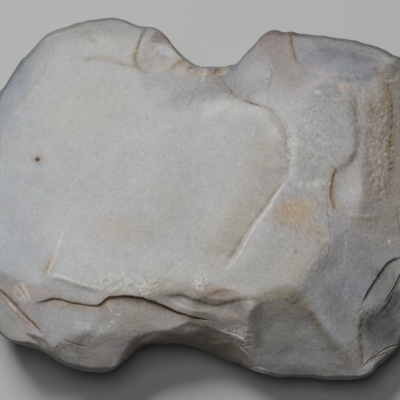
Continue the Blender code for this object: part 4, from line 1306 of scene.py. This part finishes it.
        # Painted shade: darker within a few millimetres of the rim, where the edge turns away from the light,
        # and more so on the far side.
        far = smooth(spot[:, 1] / (30.0 * MILLIMETRE))
        edge = 1.0 - (0.14 + 0.10 * far) * smooth(1.0 - inward / (8.0 * MILLIMETRE))
        edge -= (0.22 + 0.20 * far) * smooth(1.0 - inward / (2.8 * MILLIMETRE))
        return np.clip(tone * value[:, None] * tint * edge[:, None], 0.0, 0.95)

    def refine(self, ball: bpy.types.Object, count: int) -> None:
        """Split the faces of the ball where the stone's surface bends most.

        Args:
            ball: The ball, still round.
            count: How many faces to split.
        """
        points = self.read(ball)
        spot, _, _, need = self.form(points)
        faces = np.zeros(3 * len(ball.data.polygons), dtype=np.int64)
        ball.data.polygons.foreach_get("vertices", faces)
        faces = faces.reshape(-1, 3)
        corner = spot[faces]
        normal = np.cross(corner[:, 1] - corner[:, 0], corner[:, 2] - corner[:, 0])
        size = np.linalg.norm(normal, axis=1)
        normal /= size[:, None] + 1e-12
        around = np.zeros_like(spot)
        for index in range(3):
            np.add.at(around, faces[:, index], normal)
        around /= np.linalg.norm(around, axis=1)[:, None] + 1e-12
        bend = 1.0 - np.einsum("ij,ikj->ik", normal, around[faces]).min(axis=1)
        score = np.sqrt(np.clip(bend, 0.0, 1.0)) + need[faces].max(axis=1)
        score *= np.sqrt(np.minimum(size / np.median(size), 2.5))
        chosen = np.zeros(len(faces), dtype=bool)
        chosen[np.argsort(-score)[:count]] = True
        bpy.context.view_layer.objects.active = ball
        bpy.ops.object.mode_set(mode="EDIT")
        bpy.ops.mesh.select_mode(type="FACE")
        bpy.ops.mesh.select_all(action="DESELECT")
        bpy.ops.object.mode_set(mode="OBJECT")
        ball.data.polygons.foreach_set("select", chosen)
        bpy.ops.object.mode_set(mode="EDIT")
        bpy.ops.mesh.subdivide(number_cuts=1, ngon=False)
        bpy.ops.mesh.select_all(action="SELECT")
        bpy.ops.mesh.quads_convert_to_tris()
        bpy.ops.object.mode_set(mode="OBJECT")

    @staticmethod
    def read(ball: bpy.types.Object) -> np.ndarray:
        """Return the ball's points, brought back onto the unit ball."""
        points = np.zeros(3 * len(ball.data.vertices))
        ball.data.vertices.foreach_get("co", points)
        points = points.reshape(-1, 3)
        return points / np.linalg.norm(points, axis=1)[:, None]

    def build(self) -> bpy.types.Object:
        """Model the stone and dress it.

        Returns:
            The finished piece.
        """
        bpy.ops.object.select_all(action="DESELECT")
        bpy.ops.mesh.primitive_ico_sphere_add(subdivisions=self.ball_level, radius=1.0)
        stone = bpy.context.active_object
        stone.name = stone.data.name = "knapped_stone"
        for count in self.refined:
            self.refine(stone, count)
        spot, tone, skin, _ = self.form(self.read(stone))
        stone.data.vertices.foreach_set("co", spot.ravel())
        self.keep(stone, "stone_tone", tone)
        self.keep(stone, "stone_skin", skin)
        stone.data.update()
        bpy.ops.object.shade_smooth()
        stone.data.materials.append(self.finish.build())
        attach(stone, "root")
        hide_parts("stone_hoe")
        return stone

    @staticmethod
    def keep(stone: bpy.types.Object, name: str, values: np.ndarray) -> None:
        """Keep a colour for each point on the stone."""
        layer = stone.data.color_attributes.new(name, "FLOAT_COLOR", "POINT")
        layer.data.foreach_set("color", np.column_stack([values, np.ones(len(values))]).ravel())


@dataclass(frozen=True)
class FloorFinish:
    """Plain pale paper."""

    colour: tuple = (0.50, 0.50, 0.49)
    roughness: float = 0.85
    fibre_scale: float = 900.0
    fibre_strength: float = 0.1
    fibre_height: float = 0.0001

    def build(self) -> bpy.types.Material:
        """Build the material, with a faint fibre in it."""
        board = Board("pale_paper")
        fibre = board.noise(board.add("TexCoord", {})["Object"], self.fibre_scale)
        relief = {"Strength": self.fibre_strength, "Distance": self.fibre_height, "Height": fibre}
        board.feed(board.shader, {"Base Color": (*self.colour, 1.0), "Roughness": self.roughness,
                                  "Normal": board.add("Bump", relief)["Normal"]})
        return board.material


@dataclass(frozen=True)
class Lamp:
    """A soft square light that looks at the stone."""

    name: str
    bearing: float
    height: float
    distance: float
    size: float
    power: float

    def hang(self, target: np.ndarray) -> None:
        """Hang the light.

        Args:
            target: The point that it looks at.
        """
        turn, tilt = math.radians(self.bearing), math.radians(self.height)
        level = math.cos(tilt)
        away = np.array([math.cos(turn) * level, math.sin(turn) * level, math.sin(tilt)])
        bpy.ops.object.light_add(type="AREA", location=target + away * self.distance)
        light = bpy.context.active_object
        light.name = self.name
        light.data.shape = "SQUARE"
        light.data.size = self.size
        light.data.energy = self.power
        light.rotation_euler = (math.pi / 2.0 - tilt, 0.0, turn + math.pi / 2.0)


@dataclass
class Studio:
    """The floor, the lights and the camera."""

    lens: float = 300.0
    sensor: float = 36.0
    frame_pixels: float = 400.0
    rim_height: float = 0.014
    sky: float = 0.035
    floor_size: float = 3.0
    lamps: tuple = (
        Lamp("key_light", 118.0, 43.0, 0.9, 0.32, 9.85),
        Lamp("top_light", 110.0, 76.0, 0.9, 0.40, 1.6),
    )

    def build(self) -> None:
        """Lay the floor, hang the lights and set the camera."""
        low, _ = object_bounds()
        bpy.ops.object.select_all(action="DESELECT")
        bpy.ops.mesh.primitive_plane_add(size=self.floor_size)
        floor = bpy.context.active_object
        floor.name = "paper_floor"
        floor.location.z = low[2]
        floor.data.materials.append(FloorFinish().build())
        floor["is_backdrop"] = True
        for lamp in self.lamps:
            lamp.hang(np.array([0.0, 0.0, self.rim_height]))
        world = bpy.data.worlds.new("soft_room")
        world.use_nodes = True
        light = world.node_tree.nodes["Background"].inputs
        light["Color"].default_value = (1.0, 1.0, 1.0, 1.0)
        light["Strength"].default_value = self.sky
        bpy.context.scene.world = world
        self.set_camera()

    def set_camera(self) -> None:
        """Stand the camera straight above the stone."""
        middle = seen(((self.frame_pixels / 2.0, self.frame_pixels / 2.0),))[0]
        distance = self.frame_pixels * PIXEL * self.lens / self.sensor
        bpy.ops.object.camera_add(location=(middle[0], middle[1], self.rim_height + distance))
        camera = bpy.context.active_object
        camera.name = "view_from_above"
        camera.rotation_euler = (0.0, 0.0, 0.0)
        camera.data.lens = self.lens
        camera.data.sensor_width = self.sensor
        camera.data.clip_start = 0.01
        camera.data.clip_end = 10.0
        bpy.context.scene.camera = camera


def main() -> None:
    """Build the stone and the studio, and report each piece."""
    logging.basicConfig(level=logging.INFO, format="%(name)s: %(message)s")
    stone = StoneHoe().build()
    LOG.info("%s: %d triangles", stone.name, sum(len(face.vertices) - 2 for face in stone.data.polygons))
    Studio().build()
    LOG.info("studio ready")


if __name__ == "__main__":
    main()
